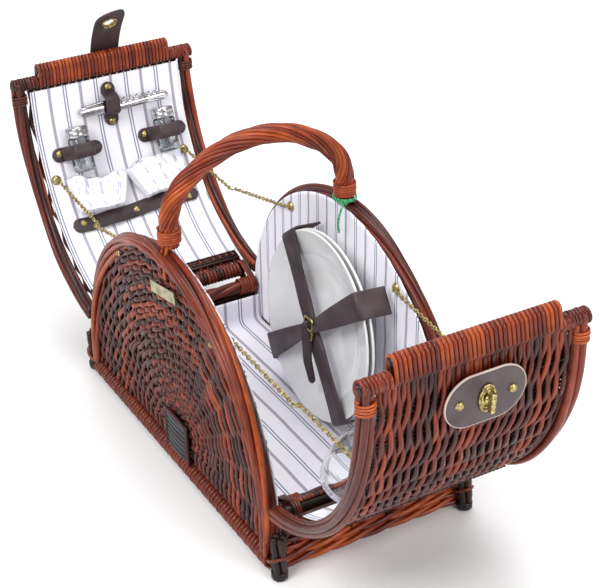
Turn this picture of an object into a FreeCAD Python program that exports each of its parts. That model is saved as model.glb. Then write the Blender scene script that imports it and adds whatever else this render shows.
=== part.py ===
"""Wicker picnic basket with two curved lids, fitted out for two people.

The frame: origin on the ground under the middle of the basket, +Z up, +X from the
corkscrew lid towards the lock-plate lid, +Y from the fan-woven end with the plaque
towards the end that carries the plates. Lids are drawn shut and then turned open
about their hinge rods, which is how the basket stands at rest.
"""
import FreeCAD, Part
import math
import os
import Sketcher

V = FreeCAD.Vector
X_AXIS, Y_AXIS, Z_AXIS = V(1, 0, 0), V(0, 1, 0), V(0, 0, 1)

doc = FreeCAD.newDocument("picnic_basket")
sheet = doc.addObject("Spreadsheet::Sheet", "Sizes")

SIZES = [
    # the body of the basket
    ("half_length", 200), ("half_width", 110), ("panel_top", 243), ("arch_base", 36),
    ("rim_depth", 14), ("rim_thick", 18), ("weave_thick", 9), ("weave_set_back", 4),
    ("rail_radius", 8), ("rail_height", 11.5), ("floor_top", 18), ("floor_thick", 10),
    ("post_radius", 8), ("post_x", 209), ("post_y", 101), ("post_top", 46),
    ("wall_outer_x", 204), ("wall_thick", 15), ("wall_foot", 4), ("sill_x", 190),
    ("sill_z", 60), ("sill_radius", 8), ("inner_y", 90.4), ("lining_thick", 1.2),
    ("lining_y", 90.6), ("lining_inset", 6), ("floor_lining_x", 181), ("flap_top", 50),
    # the handle
    ("handle_y", 95), ("handle_spring", 265), ("handle_top", 333), ("handle_radius", 9.5),
    ("handle_shoulder", 50), ("binding_radius", 11.6), ("binding_foot", 248), ("binding_length", 15),
    # the lids, drawn shut
    ("hinge_x", 209), ("hinge_z", 71), ("lid_rise", 183), ("lid_half_width", 108),
    ("lid_rail_radius", 7), ("hinge_rod_radius", 6), ("lid_weave_thick", 7), ("top_bar_x", 22),
    ("top_bar_radius", 6), ("raised_bar_x", 8.5), ("raised_bar_radius", 7), ("raised_bar_half", 79),
    ("front_open", 80), ("back_open", 83.5), ("loop_y", 84), ("loop_radius", 10.5),
    ("loop_bore", 6.5), ("loop_width", 8), ("lid_lining_half", 90),
    # what it carries
    ("plate_radius", 98.5), ("plate_depth", 16), ("plate_wall", 3.2), ("plate_pitch", 6.5),
    ("plate_x", 20), ("plate_y", 47), ("plate_z", 122), ("plate_tilt", 5.2),
    ("strap_width", 28), ("strap_thick", 2.4), ("goblet_radius", 28), ("goblet_length", 132),
    ("shaker_radius", 12.5), ("shaker_length", 38), ("cap_length", 12), ("corkscrew_length", 108),
    ("lock_plate_width", 78), ("lock_plate_height", 50), ("lock_y", 6), ("chain_radius", 2),
    ("chain_x", 102), ("chain_z", 193), ("chain_y", 85), ("chain_lid_y", 79), ("chain_lid_t", 52),
    ("rivet_outside", 3.4), ("rivet_inside", 6), ("front_sag", 2), ("back_sag", 16),
    ("closer_width", 34), ("closer_length", 75), ("twine_radius", 1.1),
]
for row, (alias, value) in enumerate(SIZES, start=1):
    sheet.set("A%d" % row, alias)
    sheet.set("B%d" % row, str(value))
    sheet.setAlias("B%d" % row, alias)
doc.recompute()


def size(alias):
    """The sheet's value under this alias, in millimetres or degrees."""
    return float(sheet.get(alias))


def ref(text):
    """An expression on the sheet: every word of text that is an alias gets the sheet's name."""
    names = sorted((a for a, _ in SIZES), key=len, reverse=True)
    words = text.replace("(", " ( ").replace(")", " ) ").split()
    return " ".join("Sizes." + w if w in names else w for w in words)


sub_parts = []


def keep(obj, label, placement=None):
    """Enter obj in the list of sub-parts under its label, with its placement."""
    obj.Label = label
    if placement is not None:
        obj.Placement = placement
    sub_parts.append(obj)
    return obj


def feature(label, shape, placement=None):
    """A sub-part whose shape is made with Part's own functions; placement comes on top of its own."""
    obj = doc.addObject("Part::Feature", label)
    obj.Shape = shape
    if placement is not None:
        placement = placement.multiply(obj.Placement)
    return keep(obj, label, placement)


def group(label, members):
    """A sub-part of separate solids, each an object of its own."""
    obj = doc.addObject("Part::Compound", label)
    obj.Links = members
    return keep(obj, label)


def rod(name, radius, length, base, axis):
    """A Part::Cylinder from base along axis, with its radius and length bound to the sheet."""
    obj = doc.addObject("Part::Cylinder", name)
    obj.setExpression("Radius", ref(radius))
    obj.setExpression("Height", ref(length))
    obj.Placement = FreeCAD.Placement(base, FreeCAD.Rotation(Z_AXIS, axis))
    return obj


def box(name, length, width, height, base):
    """A Part::Box with its three sizes bound to the sheet, its low corner at base."""
    obj = doc.addObject("Part::Box", name)
    for prop, text in (("Length", length), ("Width", width), ("Height", height)):
        obj.setExpression(prop, ref(text))
    obj.Placement = FreeCAD.Placement(base, FreeCAD.Rotation())
    return obj


def body_plane(body, role):
    """The origin plane of a body that has this role."""
    return next(f for f in body.Origin.OriginFeatures if f.Role == role)


def turned(label, outline, placement=None):
    """A PartDesign body: an outline of (radius, height) expressions turned about Z.

    Each corner is tied to the sheet by a distance from the origin both ways.
    """
    body = doc.addObject("PartDesign::Body", label)
    sketch = body.newObject("Sketcher::SketchObject", label + "_outline")
    sketch.AttachmentSupport = (body_plane(body, "XZ_Plane"), [""])
    sketch.MapMode = "FlatFace"
    count = len(outline)
    corners = [V(5 + 3 * math.cos(2 * math.pi * k / count), 5 + 3 * math.sin(2 * math.pi * k / count), 0)
               for k in range(count)]
    for k in range(count):
        sketch.addGeometry(Part.LineSegment(corners[k], corners[(k + 1) % count]), False)
    for k in range(count):
        sketch.addConstraint(Sketcher.Constraint("Coincident", k, 2, (k + 1) % count, 1))
    for k, (radius, height) in enumerate(outline):
        if radius == "0":
            sketch.addConstraint(Sketcher.Constraint("PointOnObject", k, 1, -2))
        else:
            index = sketch.addConstraint(Sketcher.Constraint("DistanceX", -1, 1, k, 1, corners[k].x))
            sketch.setExpression("Constraints[%d]" % index, ref(radius))
        if height == "0":
            sketch.addConstraint(Sketcher.Constraint("PointOnObject", k, 1, -1))
        else:
            index = sketch.addConstraint(Sketcher.Constraint("DistanceY", -1, 1, k, 1, corners[k].y))
            sketch.setExpression("Constraints[%d]" % index, ref(height))
    turn = body.newObject("PartDesign::Revolution", label + "_turned")
    turn.Profile = sketch
    turn.ReferenceAxis = (sketch, ["V_Axis"])
    turn.Angle = 360
    body.Tip = turn
    return keep(body, label, placement)


def stadium_pad(label, width, height, thick, placement):
    """A PartDesign body: a flat plate with two round ends, padded from the XY plane."""
    body = doc.addObject("PartDesign::Body", label)
    sketch = body.newObject("Sketcher::SketchObject", label + "_outline")
    sketch.AttachmentSupport = (body_plane(body, "XY_Plane"), [""])
    sketch.MapMode = "FlatFace"
    r = height / 2
    half = width / 2 - r
    sketch.addGeometry(Part.LineSegment(V(-half, -r, 0), V(half, -r, 0)), False)
    sketch.addGeometry(Part.Arc(V(half, -r, 0), V(half + r, 0, 0), V(half, r, 0)), False)
    sketch.addGeometry(Part.LineSegment(V(half, r, 0), V(-half, r, 0)), False)
    sketch.addGeometry(Part.Arc(V(-half, r, 0), V(-half - r, 0, 0), V(-half, -r, 0)), False)
    pad = body.newObject("PartDesign::Pad", label + "_pad")
    pad.Profile = sketch
    pad.Length = thick
    body.Tip = pad
    return keep(body, label, placement)


# ---------------------------------------------------------------- curves of the basket

def ellipse_edge(centre_z, half_x, half_z, start, end, y):
    """The stretch of an upright ellipse from start to end degrees, counted from +X up to +Z."""
    centre = V(0, y, centre_z)
    side, top = V(half_x, y, centre_z), V(0, y, centre_z + half_z)
    if half_x > half_z:
        ellipse = Part.Ellipse(side, top, centre)
        return Part.ArcOfEllipse(ellipse, math.radians(start), math.radians(end)).toShape()
    ellipse = Part.Ellipse(top, V(-half_x, y, centre_z), centre)
    return Part.ArcOfEllipse(ellipse, math.radians(start - 90), math.radians(end - 90)).toShape()


def ends(edge):
    """The two end points of an edge."""
    return edge.Vertexes[0].Point, edge.Vertexes[-1].Point


def arch_face(inset, foot_z, y):
    """The upright outline of an end panel, pulled in by inset and cut off at foot_z."""
    edge = ellipse_edge(size("arch_base"), size("half_length") - inset,
                        size("panel_top") - size("arch_base") - inset, 0, 180, y)
    right, left = ends(edge)
    low_right, low_left = V(right.x, y, foot_z), V(left.x, y, foot_z)
    legs = [Part.makeLine(left, low_left), Part.makeLine(low_left, low_right),
            Part.makeLine(low_right, right)]
    return Part.Face(Part.Wire([edge] + legs))


def lid_point(t, offset=0.0):
    """A point of the front lid's section, drawn shut: t degrees up from the hinge rod."""
    angle = math.radians(t)
    return V((size("hinge_x") + offset) * math.cos(angle), 0,
             size("hinge_z") + (size("lid_rise") + offset) * math.sin(angle))


def lid_angle(x):
    """The angle t at which the lid's middle curve stands over this x."""
    return math.degrees(math.acos(x / size("hinge_x")))


def lid_sheet(low_offset, high_offset, start, end, y_low, y_high):
    """A curved sheet that follows the lid between two offsets from its middle curve."""
    arcs = [ellipse_edge(size("hinge_z"), size("hinge_x") + off, size("lid_rise") + off, start, end, y_low)
            for off in (low_offset, high_offset)]
    (a0, a1), (b0, b1) = ends(arcs[0]), ends(arcs[1])
    wire = Part.Wire([arcs[0], Part.makeLine(a1, b1), arcs[1], Part.makeLine(b0, a0)])
    return Part.Face(wire).extrude(V(0, y_high - y_low, 0))


def tangent_frame(t, offset=0.0):
    """The rotation that stands local Z along the lid's outward normal and local X along Y."""
    angle = math.radians(t)
    a, b = size("hinge_x") + offset, size("lid_rise") + offset
    normal = V(math.cos(angle) / a, 0, math.sin(angle) / b)
    normal.normalize()
    return FreeCAD.Rotation(Y_AXIS, normal.cross(Y_AXIS), normal, "ZXY")


def opened(side):
    """The placement that turns a shut lid open about its hinge rod. side is 1 or -1 along X."""
    angle = size("front_open") if side > 0 else -size("back_open")
    hinge = V(side * size("hinge_x"), 0, size("hinge_z"))
    return FreeCAD.Placement(V(0, 0, 0), FreeCAD.Rotation(Y_AXIS, angle), hinge)


def to_side(shape, side):
    """The shape as drawn for the +X lid, or its mirror image for the -X lid."""
    return shape if side > 0 else shape.mirror(V(0, 0, 0), X_AXIS)


def joined(shapes):
    """Several separate solids as one compound shape."""
    return Part.makeCompound(shapes)


def cylinder(radius, length, base, axis):
    """A plain cylinder solid."""
    return Part.makeCylinder(radius, length, base, axis)


def pipe(path, radius):
    """A round bar along a path of tangent edges."""
    wire = Part.Wire(path)
    start, direction = wire.Edges[0].valueAt(wire.Edges[0].FirstParameter), \
        wire.Edges[0].tangentAt(wire.Edges[0].FirstParameter)
    ring = Part.Wire([Part.makeCircle(radius, start, direction)])
    return wire.makePipeShell([ring], True, True)


# ---------------------------------------------------------------- body of the basket

arch_foot = size("rail_height") + size("rail_radius") + 0.5
for end_name, sign in (("front", -1), ("back", 1)):
    outer_y = sign * size("half_width")
    rim = arch_face(0, arch_foot, outer_y).cut(arch_face(size("rim_depth"), arch_foot - 1, outer_y))
    feature(end_name + "_rim", rim.Faces[0].extrude(V(0, -sign * size("rim_thick"), 0)))
    weave_y = sign * (size("half_width") - size("weave_set_back"))
    weave = arch_face(size("rim_depth") + 0.3, arch_foot, weave_y)
    feature(end_name + "_panel", weave.extrude(V(0, -sign * size("weave_thick"), 0)))
    lining = arch_face(size("lining_inset"), size("floor_top") + 2.5, sign * size("lining_y"))
    feature(end_name + "_panel_lining", lining.extrude(V(0, sign * size("lining_thick"), 0)))

rail_span = "2 * half_length"
rail_y = size("post_y")
group("bottom_rails", [
    rod("rail_%s" % name, "rail_radius", rail_span,
        V(-size("half_length"), y, size("rail_height")), X_AXIS)
    for name, y in (("front", -rail_y), ("back", rail_y))])
group("corner_posts", [
    rod("post_%d" % number, "post_radius", "post_top", V(x, y, 0), Z_AXIS)
    for number, (x, y) in enumerate((sx * size("post_x"), sy * size("post_y"))
                                    for sx in (-1, 1) for sy in (-1, 1))])
keep(box("floor_board", "2 * ( wall_outer_x - wall_thick ) - 2", "2 * inner_y - 2", "floor_thick",
         V(1 - size("wall_outer_x") + size("wall_thick"), 1 - size("inner_y"),
           size("floor_top") - size("floor_thick"))), "floor_board")
wall_height = "sill_z - sill_radius - wall_foot - 0.5"
group("side_walls", [
    box("wall_%s" % name, "wall_thick", "2 * inner_y", wall_height,
        V(x, -size("inner_y"), size("wall_foot")))
    for name, x in (("front", size("wall_outer_x") - size("wall_thick")), ("back", -size("wall_outer_x")))])
group("sills", [
    rod("sill_%s" % name, "sill_radius", "2 * inner_y", V(x, -size("inner_y"), size("sill_z")), Y_AXIS)
    for name, x in (("front", size("sill_x")), ("back", -size("sill_x")))])


def hinge_loop(side, y):
    """A cane loop round the hinge rod with a stem that grips the sill."""
    centre = V(size("hinge_x"), y - size("loop_width") / 2, size("hinge_z"))
    ring = cylinder(size("loop_radius"), size("loop_width"), centre, Y_AXIS)
    stem = Part.makeBox(size("hinge_x") - size("sill_x"), size("loop_width"), 7,
                        V(size("sill_x"), centre.y, size("sill_z") + 1))
    bore = cylinder(size("loop_bore"), size("loop_width"), centre, Y_AXIS)
    sill = cylinder(size("sill_radius") + 0.1, 2 * size("inner_y"),
                    V(size("sill_x"), -size("inner_y"), size("sill_z")), Y_AXIS)
    return to_side(ring.fuse(stem).cut(bore).cut(sill), side)


feature("hinge_loops", joined([hinge_loop(side, y) for side in (1, -1)
                               for y in (-size("loop_y"), size("loop_y"))]))

# the floor lining turns up against both low walls
lining_low = size("floor_top") + 0.3
flap_x = size("floor_lining_x")
tray = Part.makeBox(2 * flap_x, 2 * size("lining_y") - 2, size("flap_top") - lining_low,
                    V(-flap_x, 1 - size("lining_y"), lining_low))
hollow = Part.makeBox(2 * (flap_x - size("lining_thick")), 2 * size("lining_y") + 2, size("flap_top"),
                      V(-flap_x + size("lining_thick"), -1 - size("lining_y"),
                        lining_low + size("lining_thick")))
feature("floor_lining", tray.cut(hollow))

# cane-wound blocks that the fans start from, and the blank plaque on the front fan
block_out = size("half_width") - size("weave_set_back") + 0.2
block_base = arch_foot + 1
block_width, block_tall, block_shift = 46, 40, 14
feature("fan_blocks", joined([
    Part.makeBox(block_width, 3.8, block_tall, V(shift - block_width / 2, y, block_base))
    for y, shift in ((-block_out - 3.8, block_shift), (block_out, -block_shift))]))
plaque_turn = FreeCAD.Rotation(V(0, -1, 0), 11)
keep(box("plaque", "54", "1.2", "12", V(0, 0, 0)), "plaque",
     FreeCAD.Placement(V(-20, -block_out - 2.2, 190), plaque_turn))

heads = []
for sx in (-1, 1):
    for sy in (-1, 1):
        at = V(sx * size("chain_x"), sy * block_out, size("chain_z"))
        heads.append(cylinder(size("rivet_outside"), 2.4, at, V(0, sy, 0)))
        inside = V(sx * size("chain_x"), sy * (size("lining_y") - 0.2), size("chain_z"))
        heads.append(cylinder(size("rivet_inside"), 2.4, inside, V(0, -sy, 0)))
feature("chain_rivets", joined(heads))

# ---------------------------------------------------------------- handle

# Half the arch: an upright leg, a shoulder arc, then the crown arc. The crown's centre lies
# on the middle plane and in line with the shoulder's end, so (1 - sin a) / cos a is known.
spring, shoulder = size("handle_spring"), size("handle_shoulder")
shoulder_y = size("handle_y") - shoulder
ratio = (size("handle_top") - spring - shoulder) / shoulder_y
turn_angle = math.pi / 2 - 2 * math.atan(ratio)
crown = shoulder + shoulder_y / math.cos(turn_angle)
crown_z = size("handle_top") - crown


def handle_arc(centre_y, centre_z, radius, first, last, sign):
    """An arc of the handle in the YZ plane, by its angles above the horizontal."""
    points = []
    for angle in (first, (first + last) / 2, last):
        points.append(V(0, sign * (centre_y + radius * math.cos(angle)), centre_z + radius * math.sin(angle)))
    return Part.Arc(*points).toShape()


foot_z = size("panel_top") + 0.3
leg_y = size("handle_y")
handle_path = [
    Part.makeLine(V(0, -leg_y, foot_z), V(0, -leg_y, spring)),
    handle_arc(shoulder_y, spring, shoulder, 0, turn_angle, -1),
    handle_arc(0, crown_z, crown, turn_angle, math.pi - turn_angle, -1),
    handle_arc(shoulder_y, spring, shoulder, turn_angle, 0, 1),
    Part.makeLine(V(0, leg_y, spring), V(0, leg_y, foot_z)),
]
feature("handle", pipe(handle_path, size("handle_radius")))


def sleeve(outer, inner, length, base, axis):
    """A short tube."""
    return cylinder(outer, length, base, axis).cut(cylinder(inner, length, base, axis))


feature("handle_bindings", joined([
    sleeve(size("binding_radius"), size("handle_radius") + 0.1, size("binding_length"),
           V(0, y, size("binding_foot")), Z_AXIS) for y in (-leg_y, leg_y)]))

# ---------------------------------------------------------------- plates and their straps

plate_frame = FreeCAD.Placement(
    V(size("plate_x"), size("plate_y"), size("plate_z")),
    FreeCAD.Rotation(X_AXIS, 90 - size("plate_tilt")))


def plate_place(step):
    """The place of one plate of the stack: local -Z is the way the plates face."""
    back = FreeCAD.Rotation(X_AXIS, 180)
    shift = FreeCAD.Placement(V(0, 0, -step * size("plate_pitch")), back)
    return plate_frame.multiply(shift)


plate_outline = [
    ("0", "plate_depth - plate_wall"), ("plate_radius * 0.62", "plate_depth - plate_wall"),
    ("plate_radius * 0.74", "plate_depth * 0.5 - plate_wall / 2"), ("plate_radius", "0"),
    ("plate_radius", "plate_wall * 0.8"), ("plate_radius * 0.75", "plate_depth * 0.5 + plate_wall / 2"),
    ("plate_radius * 0.64", "plate_depth"), ("0", "plate_depth"),
]
for step, name in enumerate(("front_plate", "rear_plate")):
    turned(name, plate_outline, plate_place(step))

strap_front = 0.4
leg_depth = size("plate_depth") + size("plate_pitch") + 10


def plate_strap(angle, lift, overhang):
    """A strap across the plates, bent back at both ends to reach behind the stack."""
    half, wide, thick = size("plate_radius") + 1.2, size("strap_width"), size("strap_thick")
    run = Part.makeBox(2 * half + 2 * thick, wide, thick, V(-half - thick, -wide / 2, lift))
    legs = [Part.makeBox(thick, wide, overhang + lift, V(x, -wide / 2, -overhang))
            for x in (-half - thick, half)]
    strap = run.fuse(legs[0]).fuse(legs[1]).removeSplitter()
    strap.rotate(V(0, 0, 0), Z_AXIS, angle)
    return strap


feature("plate_strap_lower", plate_strap(128, strap_front, leg_depth), plate_frame)
feature("plate_strap_upper", plate_strap(38, strap_front + size("strap_thick") + 0.3, leg_depth), plate_frame)
buckle_lift = strap_front + 2 * size("strap_thick") + 0.6
buckle = Part.makeBox(17, 24, 2, V(-8.5, -12, buckle_lift))
feature("strap_buckle", buckle.cut(Part.makeBox(10, 16, 4, V(-5, -8, buckle_lift - 1))), plate_frame)


# ---------------------------------------------------------------- lids

binding_outer = 9.4


def lid_frame(name, side):
    """The nodes that both lids share: rails, rods, weave, bindings and lining."""
    place = opened(side)
    rail_y = size("lid_half_width") - size("lid_rail_radius")
    rail_end = lid_angle(size("top_bar_x") - 4)
    rails = [pipe([ellipse_edge(size("hinge_z"), size("hinge_x"), size("lid_rise"), 0, rail_end, y)],
                  size("lid_rail_radius")) for y in (-rail_y, rail_y)]
    inner = rail_y - size("lid_rail_radius") - 0.1
    bar_at = lid_point(lid_angle(size("top_bar_x")))
    rails.append(cylinder(size("top_bar_radius"), 2 * inner, V(bar_at.x, -inner, bar_at.z), Y_AXIS))
    feature(name + "_rails", to_side(joined(rails), side), place)
    hinge = cylinder(size("hinge_rod_radius"), 2 * inner, V(size("hinge_x"), -inner, size("hinge_z")), Y_AXIS)
    feature(name + "_hinge_rod", to_side(hinge, side), place)
    raised_at = lid_point(lid_angle(size("raised_bar_x")))
    half = size("raised_bar_half")
    raised = cylinder(size("raised_bar_radius"), 2 * half, V(raised_at.x, -half, raised_at.z), Y_AXIS)
    feature(name + "_raised_bar", to_side(raised, side), place)
    thick = size("lid_weave_thick") / 2
    weave_half = rail_y - binding_outer - 0.2
    weave = lid_sheet(-thick, thick, 4.5, lid_angle(size("top_bar_x") + size("top_bar_radius") + 1),
                      -weave_half, weave_half)
    feature(name + "_weave", to_side(weave, side), place)
    lining = lid_sheet(-thick - 0.3 - size("lining_thick"), -thick - 0.3, 9, 81.5,
                       -size("lid_lining_half"), size("lid_lining_half"))
    feature(name + "_lining", to_side(lining, side), place)
    sleeves = []
    for y in (-rail_y, rail_y):
        at = lid_point(79.5) + V(0, y, 0)
        along = tangent_frame(79.5).multVec(Y_AXIS)
        sleeves.append(sleeve(binding_outer, size("lid_rail_radius") + 0.5, size("binding_length"),
                              at - along * (size("binding_length") / 2), along))
    feature(name + "_bindings", to_side(joined(sleeves), side), place)
    return place


def on_lid(shape, t, y, lift):
    """A shape drawn about its own origin, laid on the lid at angle t with its Z outward."""
    moved = shape.copy()
    moved.Placement = FreeCAD.Placement(lid_point(t, lift) + V(0, y, 0), tangent_frame(t, lift))
    return moved


lining_face = -size("lid_weave_thick") / 2 - 0.6 - size("lining_thick")
front_place = lid_frame("front_lid", 1)
back_place = lid_frame("back_lid", -1)


def inside_stud(t, y, radius=4.2, height=2.6, lift=0.0):
    """A brass stud that stands inwards from the lining."""
    stud = Part.makeCylinder(radius, height, V(0, 0, -height))
    return on_lid(stud, t, y, lining_face + lift)


# lock plate on the outside of the front lid
outside = size("lid_weave_thick") / 2 + 0.4
lock_t = 73.0
lock_turn = tangent_frame(lock_t, outside)
lock_at = lid_point(lock_t, outside) + V(0, size("lock_y"), 0)
lock_place = front_place.multiply(FreeCAD.Placement(lock_at, lock_turn))
plate_lift = 1.0
lock_thick = 2.6
stadium_pad("lock_plate", size("lock_plate_width"), size("lock_plate_height"), lock_thick,
            lock_place.multiply(FreeCAD.Placement(V(0, 0, plate_lift), FreeCAD.Rotation())))
face = plate_lift + lock_thick + 0.1
studs = [Part.makeCylinder(4.2, 2.2, V(x, 0, face)) for x in (-25.5, 25.5)]
feature("lock_studs", joined(studs), lock_place)
collar = Part.makeCylinder(7.5, 2.4, V(0, 0, 0))
stretch = FreeCAD.Matrix()
stretch.scale(1, 1.75, 1)
oval = collar.transformGeometry(stretch)
oval.translate(V(0, 0, face))
feature("lock_escutcheon", oval, lock_place)
key_base = face + 2.6
key = Part.makeCylinder(4, 3, V(0, 0, key_base)).fuse(Part.makeBox(4.2, 19, 5.5, V(-2.1, -9.5, key_base + 3)))
feature("turn_key", key.removeSplitter(), lock_place)

# two goblets strapped bowl-down inside the front lid
goblet_r = size("goblet_radius")
goblet_outline = [
    ("0", "0"), ("goblet_radius * 0.95", "0"), ("goblet_radius * 0.95", "2"), ("5", "5"), ("4", "8"),
    ("4", "58"), ("goblet_radius * 0.6", "68"), ("goblet_radius", "92"),
    ("goblet_radius * 0.93", "goblet_length"), ("goblet_radius * 0.93 - 2", "goblet_length"),
    ("goblet_radius - 2", "92"), ("goblet_radius * 0.6 - 2", "70"), ("0", "64"),
]
foot_t, mouth_t = 63.0, 21.5
stand_off = lining_face - goblet_r - 3.6
foot_at, mouth_at = lid_point(foot_t, stand_off), lid_point(mouth_t, stand_off)
goblet_dir = mouth_at - foot_at
goblet_dir.normalize()
goblet_turn = FreeCAD.Rotation(V(0, 0, 1), goblet_dir)
goblet_ys = (-48.0, 8.6)
for name, y in zip(("goblet_left", "goblet_right"), goblet_ys):
    place = FreeCAD.Placement(foot_at + V(0, y, 0), goblet_turn)
    turned(name, goblet_outline, front_place.multiply(place))

# each stem is held by a leather hoop: two legs on the lining and a bridge over the stem
stem_mid = foot_at + goblet_dir * 34
hoop_t = 52.3
surface = lid_point(hoop_t, lining_face)
reach = (surface - stem_mid).Length + 7
hoops = []
for y in goblet_ys:
    outer = Part.makeBox(17, 16, reach, V(-8.5, -8, -reach))
    inner = Part.makeBox(12.6, 18, reach, V(-6.3, -9, -reach + 2.2))
    hoops.append(on_lid(outer.cut(inner), hoop_t, y, lining_face))
feature("goblet_straps", joined(hoops), front_place)
anchor_t, anchor_y = size("chain_lid_t"), size("chain_lid_y")
feature("front_lid_anchors", joined([inside_stud(anchor_t, y, 6) for y in (-anchor_y, anchor_y)]), front_place)


# ---------------------------------------------------------------- fittings of the back lid

def back_feature(label, shape):
    """A sub-part drawn on the +X lid, mirrored to the back lid and opened with it."""
    return feature(label, to_side(shape, -1), back_place)


cork_t, cork_y = 72.0, 16.0
cork_lift = lining_face - 2.4
cork_half = size("corkscrew_length") / 2
cork = Part.makeBox(2 * cork_half, 12, 8, V(-cork_half, -6, -8))
cork = cork.cut(Part.makeBox(62, 6, 12, V(-cork_half + 40, 0.5, -10)))
back_feature("corkscrew_body", on_lid(cork, cork_t, cork_y, cork_lift))
worm = Part.makeCylinder(2.4, 50, V(-cork_half + 46, 3.4, -4), X_AXIS)
back_feature("corkscrew_worm", on_lid(worm, cork_t, cork_y, cork_lift))
over = Part.makeBox(16, 50, 12.6, V(-8, -25, -12.6))
under = Part.makeBox(18, 13.4, 10.6, V(-9, -8.8, -10.5))
ends_cut = [Part.makeBox(18, 12, 10.4, V(-9, y, -12.7)) for y in (-25.1, 13.1)]
cork_strap = over.cut(under).cut(ends_cut[0]).cut(ends_cut[1])
back_feature("corkscrew_strap", on_lid(cork_strap, cork_t + 0.6, 0, lining_face - 1.7))

shaker_ys = (-47.5, 57.5)
shaker_t = 60.0
shaker_r, shaker_len, cap_len = size("shaker_radius"), size("shaker_length"), size("cap_length")
glasses, caps, shaker_straps, studs = [], [], [], []
for y in shaker_ys:
    axis_lift = -shaker_r - 1.5
    glasses.append(on_lid(Part.makeCylinder(shaker_r, shaker_len, V(0, -shaker_len / 2 - 5, axis_lift), Y_AXIS),
                          shaker_t, y, lining_face))
    caps.append(on_lid(Part.makeCylinder(shaker_r + 0.2, cap_len, V(0, shaker_len / 2 - 4.8, axis_lift), Y_AXIS),
                       shaker_t, y, lining_face))
    tall = 2 * shaker_r + 4.4
    band = Part.makeBox(58, 15, tall, V(-29, -7.5, -tall))
    band = band.cut(Part.makeBox(2 * shaker_r + 1.2, 17, tall - 2.2, V(-shaker_r - 0.6, -8.5, -tall + 2.2)))
    for x in (-30.0, shaker_r + 2.6):
        band = band.cut(Part.makeBox(30 - shaker_r - 2.6, 17, tall, V(x, -8.5, -tall - 2.0)))
    shaker_straps.append(on_lid(band, shaker_t, y, lining_face - 0.1))
    studs.append(inside_stud(shaker_t, y - 21.5, lift=-2.3))
back_feature("shaker_glasses", joined(glasses))
back_feature("shaker_caps", joined(caps))
back_feature("shaker_straps", joined(shaker_straps))

napkins = []
for y, half, t in ((-37.0, 33.0, 45.5), (39.0, 33.0, 44.3)):
    cloth = Part.makeBox(2 * half, 38, 13, V(-half, -19, -13 - 3.0))
    napkins.append(on_lid(cloth, t, y, lining_face))
back_feature("napkins", joined(napkins))
napkin_strap_t = 35.4
back_feature("napkin_strap", lid_sheet(lining_face - 2.2, lining_face - 0.2, napkin_strap_t - 2.5,
                                       napkin_strap_t + 2.5, -77, 79))
studs += [inside_stud(napkin_strap_t, y, lift=-2.4) for y in (-64, 1, 67)]
studs += [inside_stud(t, 0, lift=-4.1) for t in (cork_t + 6.3, cork_t - 5.1)]
studs += [inside_stud(anchor_t, y, 6) for y in (-anchor_y, anchor_y)]
back_feature("back_lid_studs", joined(studs))

# ---------------------------------------------------------------- closing strap

# Drawn on the +X side with the lid shut: it leaves the raised bar leaning in by `lean_in`
# degrees and bends on by `lean_bend` along its length, so it is one arc.
lean_in, lean_bend = 10.0, 33.55
closer_len, closer_thick = size("closer_length"), 2.4
root = lid_point(lid_angle(size("raised_bar_x")))
root = V(root.x, 0, root.z + size("raised_bar_radius") + 0.4)
bend_radius = closer_len / math.radians(lean_bend)
start_angle = math.radians(90 + lean_in)
bend_centre = root - V(math.cos(start_angle), 0, math.sin(start_angle)) * bend_radius


def closer_arc(radius, y):
    """One edge line of the closing strap at this radius from the centre of its bend."""
    points = []
    for share in (0.0, 0.5, 1.0):
        a = math.radians(90 + lean_in + share * lean_bend)
        points.append(V(bend_centre.x + radius * math.cos(a), y, bend_centre.z + radius * math.sin(a)))
    return Part.Arc(*points).toShape()


closer_half = size("closer_width") / 2
arcs = [closer_arc(bend_radius + off, size("lock_y") - closer_half) for off in (0, closer_thick)]
(c0, c1), (d0, d1) = ends(arcs[0]), ends(arcs[1])
closer = Part.Face(Part.Wire([arcs[0], Part.makeLine(c1, d1), arcs[1], Part.makeLine(d0, c0)]))
closer = closer.extrude(V(0, size("closer_width"), 0))
eye_share = math.radians(90 + lean_in + lean_bend * 0.628)
eye_dir = V(math.cos(eye_share), 0, math.sin(eye_share))
eye_at = bend_centre + eye_dir * (bend_radius - 3) + V(0, size("lock_y"), 0)
closer = closer.cut(cylinder(9.4, 9, eye_at, eye_dir))
# drawn about the raised bar of the -X lid, so that it is mirrored like that lid's other parts
back_feature("closing_strap", closer)
eyelet = sleeve(9.2, 6.2, 4.2, eye_at + eye_dir * 2.1, eye_dir)
back_feature("strap_eyelet", eyelet)

# ---------------------------------------------------------------- chains


def lid_anchor(side):
    """Where a chain meets its lid, in the open lid's place, on the plane y = 0."""
    at = lid_point(size("chain_lid_t"), lining_face - 4.2)
    at = V(side * at.x, 0, at.z)
    return opened(side).multVec(at)


for side, name, sag in ((1, "front", size("front_sag")), (-1, "back", size("back_sag"))):
    hook = V(side * size("chain_x"), 0, size("chain_z"))
    far = lid_anchor(side)
    middle = (hook + far) * 0.5 - V(0, 0, sag)
    halves = {"panel": [], "lid": []}
    for sy in (-1, 1):
        near_y, far_y = sy * size("chain_y"), sy * size("chain_lid_y")
        panel_run = (hook + V(0, near_y, 0), middle + V(0, near_y - sy * 0.8, 0))
        lid_run = (far + V(0, far_y, 0), middle + V(0, far_y + sy * 0.8, 0))
        for key, (start, stop) in (("panel", panel_run), ("lid", lid_run)):
            run = stop - start
            gap = 3.0 if key == "panel" else 2.5
            unit = V(run.x, run.y, run.z)
            unit.normalize()
            halves[key].append(cylinder(size("chain_radius"), run.Length - 2 * gap, start + unit * gap, unit))
    for key, solids in halves.items():
        feature("%s_chains_%s_half" % (name, key), joined(solids))

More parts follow.
